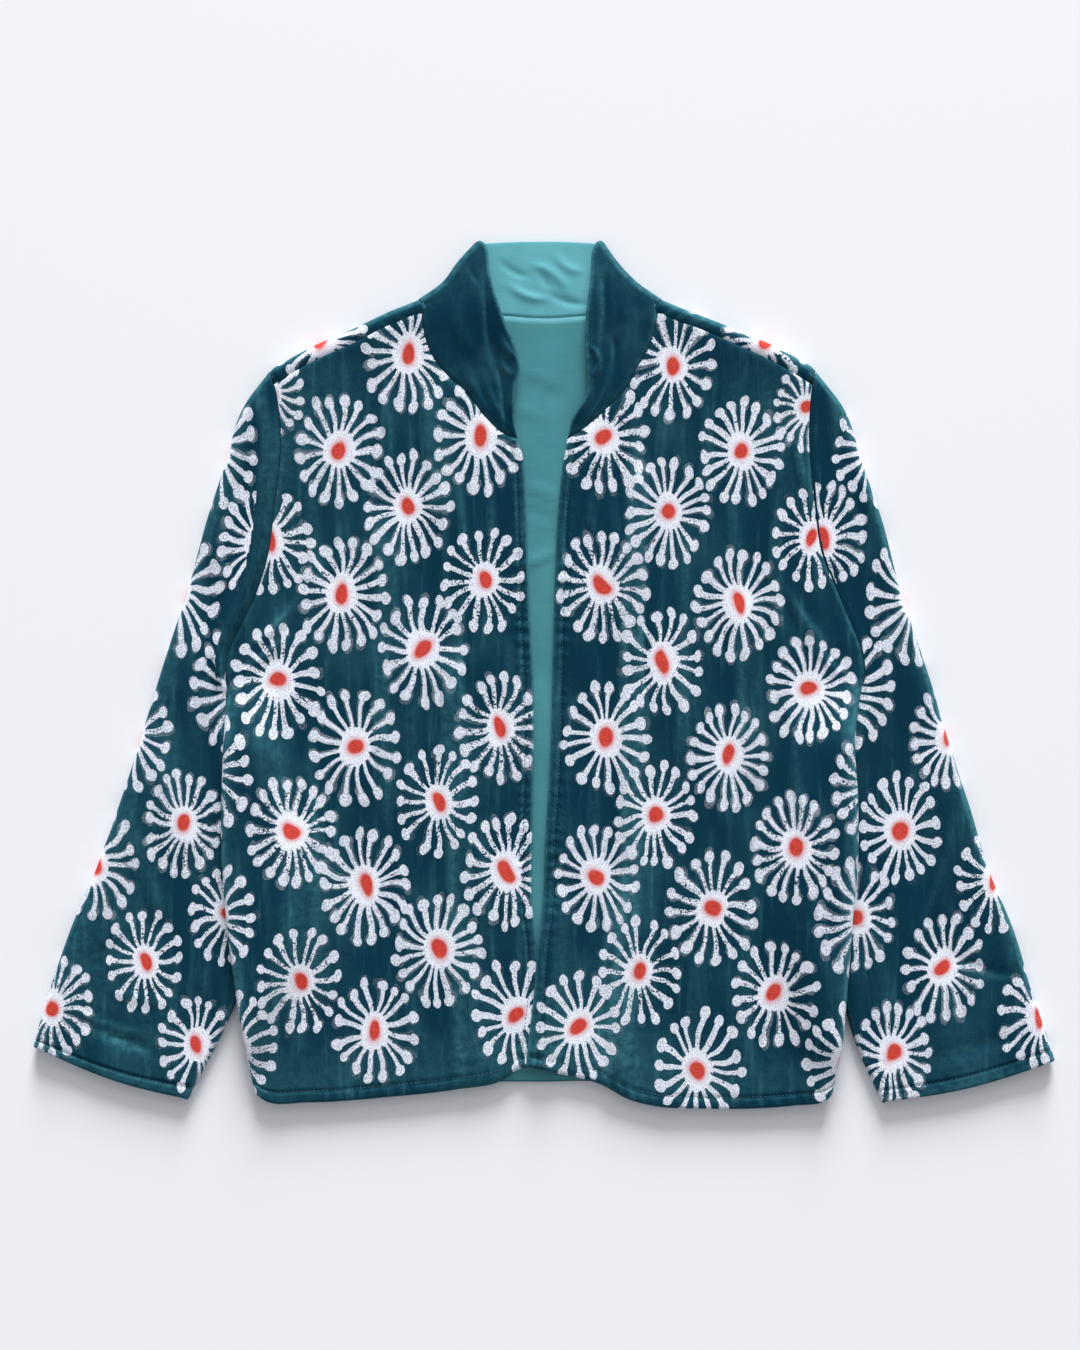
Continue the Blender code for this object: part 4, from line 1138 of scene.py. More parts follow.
@dataclass
class Front(ClothPiece):
    """One front: hem, side and armhole, shoulder seam, front edge and neckline."""

    side: Side = Side.LEFT
    thread: Optional[bpy.types.Material] = None
    width: float = 247.0
    shoulder_forward: float = 8.5
    overlap_rise: float = 4.0
    edge_radius: float = 2.2
    stitch_in: float = 8.0
    hem_in: float = 9.6
    collar_row: float = 11.0
    edge_pucker: float = 0.75
    hem_pucker: float = 0.45
    edge_groove: float = 1.0
    hem_groove: float = 0.8
    neck_dip: float = 0.7
    shoulder_dip: float = 0.35
    armhole_dip: float = 0.5
    stitch_shade: float = 0.25

    def motifs(self) -> list[Motif]:
        """Middles of the flowers printed on the front."""
        return FRONT_MOTIFS[self.side]

    def rows(self) -> Array:
        """Places from 0 at the hem to 19 at the shoulder, closest at the hem's stitching."""
        return steps((0.2, 0.04), (SHOULDER_ROW, 0.064))

    def columns(self) -> Array:
        """Shares from the side to the front edge, closest at the roll and at the edge's stitching."""
        roll = LAY.roll
        near = self.width - 14.0
        places = steps((roll, roll / 8), (near, 2.3), (self.width - 2.2, 1.1), (self.width, 0.5))
        return places / self.width

    def inner_line(self, rows: Array) -> Array:
        """Front edge and neckline."""
        front_edge = edge(level_points(FRONT_EDGES, self.side), np.clip(rows / self.collar_row, 0, 1))
        share = np.clip((rows - self.collar_row) / (SHOULDER_ROW - self.collar_row), 0, 1)
        neckline = edge(NECKLINES[self.side], share)
        return np.where(rows[:, None] <= self.collar_row, front_edge, neckline)

    def pattern(self) -> Array:
        """The flat pattern piece, in rows from the hem up that run from the side to the front edge."""
        rows = self.rows()
        columns = self.columns()
        outer = LAY.side_line(self.side, rows)
        inner = self.inner_line(rows)
        hem = edge(HEMS[self.side], columns)
        hem += (1 - columns)[:, None] * (outer[0] - hem[0])
        seam = LAY.shoulder_line(self.side, columns, self.shoulder_forward)
        to_tip = outer[-1] - seam[0]
        to_neck = inner[-1] - seam[-1]
        seam += (1 - columns)[:, None] * to_tip + columns[:, None] * to_neck
        return patch(hem, seam, outer, inner, columns, rows / SHOULDER_ROW)

    def lay(self) -> Laid:
        """Works out the front as laid."""
        rows = self.rows()
        flat = self.pattern()
        from_side = np.linalg.norm(flat - flat[:, :1], axis=2)
        to_edge = np.linalg.norm(flat - flat[:, -1:], axis=2)
        to_hem = np.linalg.norm(flat - flat[:1], axis=2)
        to_seam = np.linalg.norm(flat - flat[-1:], axis=2)
        turn = LAY.side_turn(flat[:, :1, 1])
        inward, drop = LAY.rolled(from_side, turn)
        x = flat[..., 0] - self.side.out * inward
        y = flat[..., 1]
        fold, fold_highlight = crease_heights(FOLDS, x, y)
        fine, fine_highlight = crease_heights(FRONT_CREASES, x, y)
        puff = LAY.puff * turn / (0.5 * math.pi)
        near_fold = bell(np.maximum(from_side - LAY.roll, 0.0), LAY.fold_reach)
        z = LAY.height + LAY.shoulder_rise(x, y) + fold + LAY.lift(x, y, self.side) + puff * near_fold - drop
        calm = smooth_step(0, 14, to_edge) * smooth_step(0, 14, to_hem) * smooth_step(2, 16, from_side)
        z += (1.45 * fine + drape(x, y)) * (0.25 + 0.75 * calm)
        at_edge = rows[:, None] < self.collar_row + 0.2
        at_armhole = rows[:, None] > UNDERARM_ROW - 0.4
        pucker = np.sin(y / 1.35 + 2.2 * np.sin(y / 9.0)) * (0.6 + 0.4 * np.sin(y / 31.0))
        ticks = np.where(at_edge, pucker * bell(to_edge - self.stitch_in, 6.0), 0.0)
        z += self.edge_pucker * ticks
        hem_waves = np.sin(x / 1.7 + 1.8 * np.sin(x / 12.0)) * (0.6 + 0.4 * np.sin(x / 27.0))
        z += self.hem_pucker * hem_waves * bell(to_hem - 0.7 * self.hem_in, 5.2)
        z -= np.where(at_edge, self.edge_groove * bell(to_edge - self.stitch_in, 1.25), 0.0)
        z -= self.hem_groove * bell(to_hem - self.hem_in, 1.2)
        z -= np.where(at_edge, lip(to_edge, self.edge_radius), self.neck_dip * bell(to_edge, 2.6))
        z -= lip(to_hem, self.edge_radius) + self.shoulder_dip * bell(to_seam, 1.8)
        above_arm = smooth_step(UNDERARM_ROW - 0.4, UNDERARM_ROW + 0.4, rows)[:, None]
        z -= np.where(at_armhole, self.armhole_dip * bell(from_side, 2.0) * above_arm, 0.0)
        if self.side is Side.RIGHT:
            z += self.overlap_rise * smooth_step(34, 12, to_edge) * smooth_step(-165, -205, y)
        # Painted light and shade: highlights on crease flanks and pucker crests, painted sheen along the
        # rolled front edge, hem, side and armhole, painted shade in the stitch grooves, the wide tone patches
        # and a lighter band above the hem.
        painted_light_and_tone = 1.4 * fold_highlight + 1.2 * fine_highlight + 0.32 * ticks + patch_tone(x, y)
        edge_light = 0.52 * bell(to_edge, 1.8) + 0.10 * smooth_step(9, 5, to_edge)
        painted_light_and_tone += np.where(at_edge, edge_light, 0.12 * bell(to_edge, 2.5))
        painted_light_and_tone += 0.10 * bell(to_hem, 1.6) + 0.2 * smooth_step(70, 8, to_hem) * smooth_step(3, 12, to_hem)
        painted_light_and_tone -= self.stitch_shade * bell(to_hem - self.hem_in, 1.4)
        painted_light_and_tone -= np.where(at_edge, self.stitch_shade * bell(to_edge - self.stitch_in, 1.4), 0.0)
        armhole_light = 0.24 * bell(from_side - 2.0, 2.5)
        painted_light_and_tone += np.where(at_armhole, armhole_light, 0.36 * smooth_step(18, 4, from_side))
        painted_light_and_tone += np.where(at_armhole, 0.0, 0.3 * bell(from_side - 5.5, 2.2))
        return Laid(np.stack([x, y, z], axis=2), flat, painted_light_and_tone)

    def trims(self, laid: Laid) -> list[bpy.types.Object]:
        """The rows of stitches along the front edge and the hem."""
        rows = self.rows()
        along_edge = []
        for row in np.flatnonzero(rows < self.collar_row):
            gap = np.linalg.norm(laid.flat[row] - laid.flat[row, -1], axis=1)[::-1]
            line = laid.points[row, ::-1]
            along_edge.append([np.interp(self.stitch_in, gap, line[:, axis]) for axis in range(3)])
        along_hem = []
        for column in range(laid.flat.shape[1] - 12):
            gap = np.linalg.norm(laid.flat[:40, column] - laid.flat[0, column], axis=1)
            line = laid.points[:40, column]
            along_hem.append([np.interp(self.hem_in, gap, line[:, axis]) for axis in range(3)])
        start = int(np.searchsorted(np.array(along_edge)[:, 1], np.array(along_hem)[-1, 1]))
        sewn = StitchRow(f"stitches_front_{self.side.word}", self.thread)
        return [sewn.build([np.array(along_edge)[start:], np.array(along_hem)])]


@dataclass
class Back(ClothPiece):
    """The back, face down on the floor, which comes forward over the shoulders."""

    shoulder_share: float = 0.30
    collar_tuck: float = 4.0
    sleeve_tuck: float = 2.5
    end_slim: float = 1.3
    body_width: float = 508.0
    shoulder_forward: float = 8.5
    column_step: float = 54.0
    flower_gap: float = 62.0
    row_step: float = 116.0

    def motifs(self) -> list[Motif]:
        """Middles of the flowers on the hidden back, in columns that drop by half a step in turn."""
        found = list(STRIP_MOTIFS)
        for column in range(-5, 6):
            for row in range(-3, 3):
                y = self.row_step * (row + 0.5 * (column % 2)) + 20.0
                motif = Motif(self.column_step * column + 0.03 * y, y)
                at_hem = abs(motif.x) < 75.0 and y < -300.0
                apart = all(math.dist(motif[:2], other[:2]) > self.flower_gap for other in STRIP_MOTIFS)
                if apart and not at_hem:
                    found.append(motif)
        return found

    def shoulder_columns(self) -> Array:
        """Shares across from a side to the neck."""
        roll = LAY.roll
        return steps((roll, roll / 8), (self.shoulder_share * self.body_width, 3.6)) / self.body_width

    def neck_columns(self) -> Array:
        """Shares across under the neck."""
        return np.linspace(self.shoulder_share, 1 - self.shoulder_share, 52)

    def rows(self) -> Array:
        """Places from 0 at the hem to 19 at the shoulder."""
        return steps((0.2, 0.05), (1.0, 0.1), (SHOULDER_ROW, 0.16))

    def lay_flat(self) -> tuple[Array, Array, Array]:
        """The part of the back that lies on the floor.

        Returns:
            Its points, its flat pattern, and its painted light and shade.
        """
        rows = self.rows()
        shoulder = self.shoulder_columns()
        neck_shares = self.neck_columns()
        across = np.concatenate([shoulder, neck_shares[1:-1], 1 - shoulder[::-1]])
        outer = {side: LAY.side_line(side, rows) for side in Side}
        neck = edge(BACK_NECK, np.linspace(0, 1, len(neck_shares)))
        to_neck = shoulder / self.shoulder_share
        starts = {side: LAY.shoulder_line(side, to_neck, LAY.fold_radius) for side in Side}
        for side, end in ((Side.LEFT, neck[0]), (Side.RIGHT, neck[-1])):
            starts[side] += (to_neck ** 4)[:, None] * (end - starts[side][-1])
            reach = (rows / SHOULDER_ROW)[:, None] ** 12
            outer[side] = outer[side] + reach * (starts[side][0] - outer[side][-1])
        top = np.concatenate([starts[Side.LEFT], neck[1:-1], starts[Side.RIGHT][::-1]])
        hem = edge(BACK_HEM, across)
        hem += (1 - across)[:, None] * (outer[Side.LEFT][0] - hem[0])
        hem += across[:, None] * (outer[Side.RIGHT][0] - hem[-1])
        flat = patch(hem, top, outer[Side.LEFT], outer[Side.RIGHT], across, rows / SHOULDER_ROW)
        x = flat[..., 0].copy()
        y = flat[..., 1]
        z = np.zeros_like(x)
        painted_light_and_tone = np.full_like(x, 0.05)
        for side, column in ((Side.LEFT, 0), (Side.RIGHT, -1)):
            from_side = np.abs(flat[..., 0] - flat[:, [column], 0])
            inward, rise = LAY.rolled(from_side, LAY.side_turn(flat[:, [column], 1]))
            x -= side.out * inward
            z += rise + LAY.lift(x, y, side)
            # Painted sheen along the rolled sides below the underarm.
            painted_light_and_tone += 0.3 * smooth_step(16, 4, from_side) * (rows[:, None] < UNDERARM_ROW)
        to_hem = np.linalg.norm(flat - flat[:1], axis=2)
        z += 0.7 * lip(to_hem, 2.0) + 0.6 * bell(to_hem - 8.0, 1.2)
        # The mirrored creases bring their painted highlights, and the rolled hem's edge gets painted sheen.
        mirrored = [crease._replace(start_x=-crease.start_x, end_x=-crease.end_x) for crease in FRONT_CREASES]
        dents, tone_with_painted_light = crease_heights(mirrored, x, y)
        z += np.maximum(dents, 0.0) * smooth_step(4, 16, to_hem) * 0.8
        return np.stack([x, y, z], axis=2), flat, painted_light_and_tone + tone_with_painted_light + 0.2 * smooth_step(9, 5, to_hem)

    def lay(self) -> Laid:
        """Works out the back as laid, with the rows that go over the shoulders."""
        laid, flat, painted_light_and_tone = self.lay_flat()
        columns = flat.shape[1]
        shoulder = len(self.shoulder_columns())
        turns = np.linspace(0, math.pi, 19)
        ahead = self.shoulder_forward - LAY.fold_radius
        forward = [
            (0.35 * ahead, 0.0), (0.7 * ahead, 0.0), (ahead, 0.1), (ahead + 2.2, 0.5), (ahead + 5.0, 2.4),
        ]
        over = np.repeat(laid[-1:], len(turns) + len(forward), axis=0)
        over_flat = np.repeat(flat[-1:], len(turns) + len(forward), axis=0)
        over_painted_light = np.zeros(over.shape[:2])
        radius = LAY.fold_radius
        along = self.shoulder_columns() / self.shoulder_share
        tuck = self.collar_tuck * smooth_step(0.9, 1.0, along)
        tuck -= self.sleeve_tuck * smooth_step(0.1, 0.0, along)
        left_part, right_part = slice(0, shoulder), slice(columns - shoulder, columns)
        for side, chosen in ((Side.LEFT, left_part), (Side.RIGHT, right_part)):
            out = LAY.shoulder_out(side)
            start = laid[-1, chosen].copy()
            to_neck = np.array([-side.out * out[1], side.out * out[0]])
            start[:, :2] += (tuck if side is Side.LEFT else tuck[::-1])[:, None] * to_neck
            slim = self.end_slim * smooth_step(0.04, 0.0, along if side is Side.LEFT else along[::-1])
            for row, turn in enumerate(turns):
                over[row, chosen, :2] = start[:, :2] + (radius - slim)[:, None] * math.sin(turn) * out
                over[row, chosen, 2] = start[:, 2] + (radius - slim) * (1 - math.cos(turn))
                over_flat[row, chosen] = flat[-1, chosen] + radius * turn * out
                # Painted sheen on the crown of the shoulder's roll.
                over_painted_light[row, chosen] = 0.3 * math.sin(turn)
            for row, (reach, sunk) in enumerate(forward, len(turns)):
                over[row, chosen, :2] = start[:, :2] - reach * out
                crown = LAY.height + LAY.shoulder_rise(over[row, chosen, 0], over[row, chosen, 1])
                over[row, chosen, 2] = crown - sunk - slim
                over_flat[row, chosen] = flat[-1, chosen] + (radius * math.pi + reach) * out
        points = np.concatenate([laid, over[1:]])
        keep = np.ones((len(points) - 1, columns - 1), bool)
        keep[len(laid) - 1:, shoulder - 1:columns - shoulder] = False
        whole_flat = np.concatenate([flat, over_flat[1:]])
        return Laid(points, whole_flat, np.concatenate([painted_light_and_tone, over_painted_light[1:]]), keep)


@dataclass
class BackLining(ClothPiece):
    """Lining over the inside of the back, up to the neck seam."""

    back: Optional[Back] = None
    height: float = 4.5
    hem_cover: float = 1.2
    roll_columns: int = 9

    def lay(self) -> Laid:
        """Works out the lining on the inside of the back."""
        laid, flat, _ = self.back.lay_flat()
        inside = slice(self.roll_columns, -self.roll_columns)
        points = raised(laid, self.height)[:, inside].copy()
        flat = flat[:, inside]
        x, y = points[..., 0], points[..., 1]
        hem_shift = bell(x[0], 110.0) * self.hem_cover
        y -= hem_shift[None] * smooth_step(30, 0, y - y[:1])
        height, _ = crease_heights(LINING_CREASES, x, y)
        to_neck = np.linalg.norm(flat - flat[-1:], axis=2)
        to_hem = np.linalg.norm(flat - flat[:1], axis=2)
        points[..., 2] += 1.5 * height + 0.35 * drape(1.4 * x, y) * smooth_step(0, 20, to_neck)
        points[..., 2] -= 0.15 * bell(to_neck, 1.6) + 0.8 * bell(to_hem - 9.0, 1.3)
        return Laid(points, flat, np.zeros_like(x))


@dataclass
class Sleeve(ClothPiece):
    """A sleeve: a flattened tube from armhole to cuff, with a roll of cloth beside the armhole."""

    side: Side = Side.LEFT
    thread: Optional[bpy.types.Material] = None
    inner_radius: float = 4.7
    seam_bend: float = 60.0
    gap: float = 0.15
    gap_reach: float = 120.0
    cuff_bow: float = 5.0
    bow_reach: float = 70.0
    underarm_tuck: float = 3.0
    roll_height: float = 4.5
    roll_width: float = 15.0
    bare_share: float = 1.0
    edge_radius: float = 2.0
    stitch_in: float = 8.0
    groove: float = 1.0
    armhole_dip: float = 0.5
    cuff_pucker: float = 0.3
    flower_gap: float = 66.0
    column_step: float = 62.0
    row_step: float = 112.0
    flower_wide: float = 33.5
    flower_tall: float = 44.0

    def motifs(self) -> list[Motif]:
        """Middles of the flowers that show, and of those on the part underneath."""
        found = list(SLEEVE_MOTIFS[self.side])
        for column in range(6):
            for row in range(-4, 3):
                x = self.side.out * (330.0 + self.column_step * column)
                y = self.row_step * (row + 0.5 * (column % 2)) - 30.0
                past_cuff = column == 0 and y < -300.0
                shown = SLEEVE_MOTIFS[self.side]
                apart = all(math.dist((x, y), other[:2]) > self.flower_gap for other in shown)
                if apart and not past_cuff:
                    found.append(Motif(x, y))
        return found

    def edges(self) -> tuple[Array, Array, Array]:
        """Inner and outer edge of the sleeve at its rows, and how far along its middle each row is."""
        table = SLEEVES[self.side]
        outer = np.array([(row.outer_x, row.outer_y) for row in table], float)
        inner = np.array([(row.inner_x, row.inner_y) for row in table], float)
        keys = lengths_along(0.5 * (outer + inner))
        end = keys[-1]
        rows = steps((24.0, 1.4), (90.0, 2.4), (end - 14.0, 3.3), (end - 2.2, 1.1), (end, 0.5))
        return curve(keys, inner, rows), curve(keys, outer, rows), rows

    def across_edge(self, points: Array, first: Array) -> Array:
        """Unit directions out of the jacket across an edge. At the armhole they run along the first one."""
        run = np.gradient(points, axis=0)
        square = self.side.out * np.column_stack([-run[:, 1], run[:, 0]])
        square /= np.linalg.norm(square, axis=1)[:, None]
        share = smooth_step(0, 30, lengths_along(points))[:, None]
        blend = (1 - share) * first + share * square
        return blend / np.linalg.norm(blend, axis=1)[:, None]

    def row_plan(self, row: float, end: float, ends: tuple[Array, Array], shares: Array, bend: Array) -> Array:
        """Points in plan across the sleeve at one row.

        Args:
            row: how far along the sleeve the row is.
            end: how far along the cuff is.
            ends: where the row starts and where it ends.
            shares: shares across.
            bend: how far the armhole's seam is from a straight line at these shares.

        Returns:
            The points.
        """
        plan = ends[0] + shares[:, None] * (ends[1] - ends[0])
        plan += bend * smooth_step(self.seam_bend, 0, np.array(row))
        plan[:, 0] += self.side.out * self.gap * smooth_step(self.gap_reach, 0, np.array(row))
        bow = smooth_step(end - self.bow_reach, end, np.array(row))
        plan[:, 1] -= self.cuff_bow * np.sin(math.pi * shares) * bow
        return plan

    def cuff_painted_light(self, to_cuff: float) -> Array:
        """Painted sheen on the turned edge of the cuff, less painted shade in the groove of its stitches."""
        turned = 0.18 * smooth_step(9, 5, np.array(to_cuff)) + 0.12 * bell(np.array(to_cuff), 2.0)
        return turned - 0.25 * bell(np.array(to_cuff - self.stitch_in), 1.4)

    def armhole_shade(self, beside: Array) -> Array:
        """Painted shade on the sleeve beside the armhole, under the body's edge, as numbers below 0."""
        shade = -0.30 * smooth_step(0.9, 1.3, beside) * smooth_step(3.2, 1.4, beside)
        if self.side is Side.LEFT:
            return shade - 0.45 * smooth_step(0.7, 0.3, beside)
        return shade - 0.3 * smooth_step(3.0, 0.4, beside)

    def lay(self) -> Laid:
        """Works out the sleeve as laid, ring by ring from the armhole to the cuff."""
        inner, outer, rows = self.edges()
        radius = LAY.fold_radius
        into = self.across_edge(inner, np.array([0.0, 1.0]))
        out = self.across_edge(outer, LAY.shoulder_out(self.side))
        starts = inner + self.inner_radius * into
        below_arm = smooth_step(-2, -14, inner[:, 1]) * smooth_step(-80, -45, inner[:, 1])
        tuck = self.side.out * self.underarm_tuck * below_arm
        ends = outer - radius * out
        seam_length = np.linalg.norm(outer[0] - inner[0])
        span = (self.inner_radius / seam_length, 1 - radius / seam_length)
        turns = np.linspace(0, math.pi, 13)[1:-1]
        top_shares = steps((0.2, 0.018), (1.0, 0.024))
        bottom_shares = steps((1.0, 0.045))
        armhole_y = [level.y for level in ARMHOLES]
        armhole_x = np.array([getattr(level, self.side.word) for level in ARMHOLES])
        levels = level_points(ARMHOLES, self.side)
        bends = []
        for shares in (top_shares, bottom_shares):
            seam = edge(levels, span[0] + shares * (span[1] - span[0]))
            straight = starts[0] + shares[:, None] * (ends[0] - starts[0])
            bends.append(seam - straight)
        rings, flats, painted_lights, bares = [], [], [], []
        for k, row in enumerate(rows):
            to_cuff = rows[-1] - row
            top = self.row_plan(row, rows[-1], (starts[k], ends[k]), top_shares, bends[0])
            bottom = self.row_plan(row, rows[-1], (starts[k], ends[k]), bottom_shares, bends[1])
            x, y = top[:, 0], top[:, 1]
            from_fold = np.linalg.norm(top - ends[k], axis=1)
            from_start = np.linalg.norm(top - starts[k], axis=1)
            fold, fold_highlight = crease_heights(FOLDS, x, y)
            fine, fine_highlight = crease_heights(SLEEVE_CREASES, x, y)
            calm = smooth_step(0, 14, np.array(to_cuff)) * smooth_step(0, 25, from_fold)
            calm *= smooth_step(0, 25, np.array(row))
            height = LAY.height + LAY.puff * bell(from_fold, LAY.fold_reach) + fold
            height += (1.4 * fine + drape(1.1 * x, y)) * (0.2 + 0.8 * calm)
            beside = self.side.out * (x - curve(armhole_y, armhole_x, y)) / self.roll_width
            beside /= 0.55 + 0.45 * smooth_step(0, 60, y)
            crest = smooth_step(0, 0.6, beside) * smooth_step(1.7, 0.7, beside)
            crest *= smooth_step(1.0, 0.72, top_shares)
            crest *= smooth_step(LAY.underarm_y - 16, LAY.underarm_y + 4, y)
            height += self.roll_height * crest
            along = from_start + 3.0 * self.side.out
            pucker = np.sin(along / 1.8 + 1.6 * np.sin(along / 13.0))
            height += self.cuff_pucker * pucker * float(bell(np.array(to_cuff - 0.55 * self.stitch_in), 4.2))
            groove = self.groove * float(bell(np.array(to_cuff - self.stitch_in), 1.15))
            rim = float(lip(np.array(to_cuff), self.edge_radius)) + groove
            dip = self.armhole_dip * float(bell(np.array(row), 2.0))
            squeeze = 1 - 0.5 * rim / radius
            outer_plan = top[-1] + squeeze * radius * np.sin(turns)[:, None] * out[k]
            inner_plan = top[0] - squeeze * self.inner_radius * np.sin(turns[::-1])[:, None] * into[k]
            inner_plan[:, 0] -= tuck[k] * np.sin(turns)
            inner_z = self.inner_radius * (1 - np.cos(turns))
            inner_mix = smooth_step(0, math.pi, turns)
            inner_z = inner_z + inner_mix * (height[0] - rim - dip - 2 * self.inner_radius)
            outer_z = radius * (1 + np.cos(turns))
            outer_z = outer_z + smooth_step(math.pi, 0, turns) * (height[-1] - rim - dip - 2 * radius)
            lift = 0.6 * rim + 0.4 * dip
            rings.append(np.concatenate([
                np.column_stack([bottom[:1], [lift]]),
                np.column_stack([inner_plan, inner_z]),
                np.column_stack([top, height - rim - dip]),
                np.column_stack([outer_plan, outer_z]),
                np.column_stack([bottom[::-1], np.full(len(bottom), lift)]),
            ]))
            past_fold = math.pi * radius + np.linalg.norm(bottom[::-1] - bottom[-1], axis=1)
            flats.append(np.concatenate([
                top[:1] - math.pi * self.inner_radius * into[k],
                top[0] - self.inner_radius * (math.pi - turns)[:, None] * into[k],
                top,
                top[-1] + radius * turns[:, None] * out[k],
                top[-1] + past_fold[:, None] * out[k],
            ]))
            # Painted light and shade: highlights on crease flanks and the armhole roll's crest, painted shade
            # beside the armhole, painted sheen on the cuff, the outer fold and the rolled edges, and the wide
            # tone patches.
            cuff_light_and_shade = self.cuff_painted_light(to_cuff)
            above_arm = y > LAY.underarm_y
            tone_with_painted_light = fold_highlight + fine_highlight + cuff_light_and_shade + 0.12 * bell(beside - 0.75, 0.25) * crest
            tone_with_painted_light = tone_with_painted_light + self.armhole_shade(beside) * above_arm + patch_tone(x, y)
            tone_with_painted_light += 0.22 * bell(from_fold, 7.0)
            strip = (beside < self.bare_share) & above_arm
            bares.append(np.concatenate([
                [False], np.zeros(len(turns), bool), strip, np.zeros(len(turns) + len(bottom), bool)]))
            painted_lights.append(np.concatenate([
                [0.1], np.full(len(turns), 0.25 + float(cuff_light_and_shade)), tone_with_painted_light,
                np.full(len(turns), 0.28 + float(cuff_light_and_shade)), np.full(len(bottom), 0.08),
            ]))
        return Laid(np.stack(rings), np.stack(flats), np.stack(painted_lights), bare=np.stack(bares))

    def declare(self, panel: bpy.types.Object, laid: Laid) -> None:
        """Sews the row of stitches round the cuff."""
        self.trims(laid)

    def trims(self, laid: Laid) -> list[bpy.types.Object]:
        """The row of stitches round the cuff."""
        _, _, rows = self.edges()
        line = laid.points[int(np.argmin(np.abs(rows[-1] - self.stitch_in - rows)))]
        return [StitchRow(f"stitches_sleeve_{self.side.word}", self.thread).build([line])]


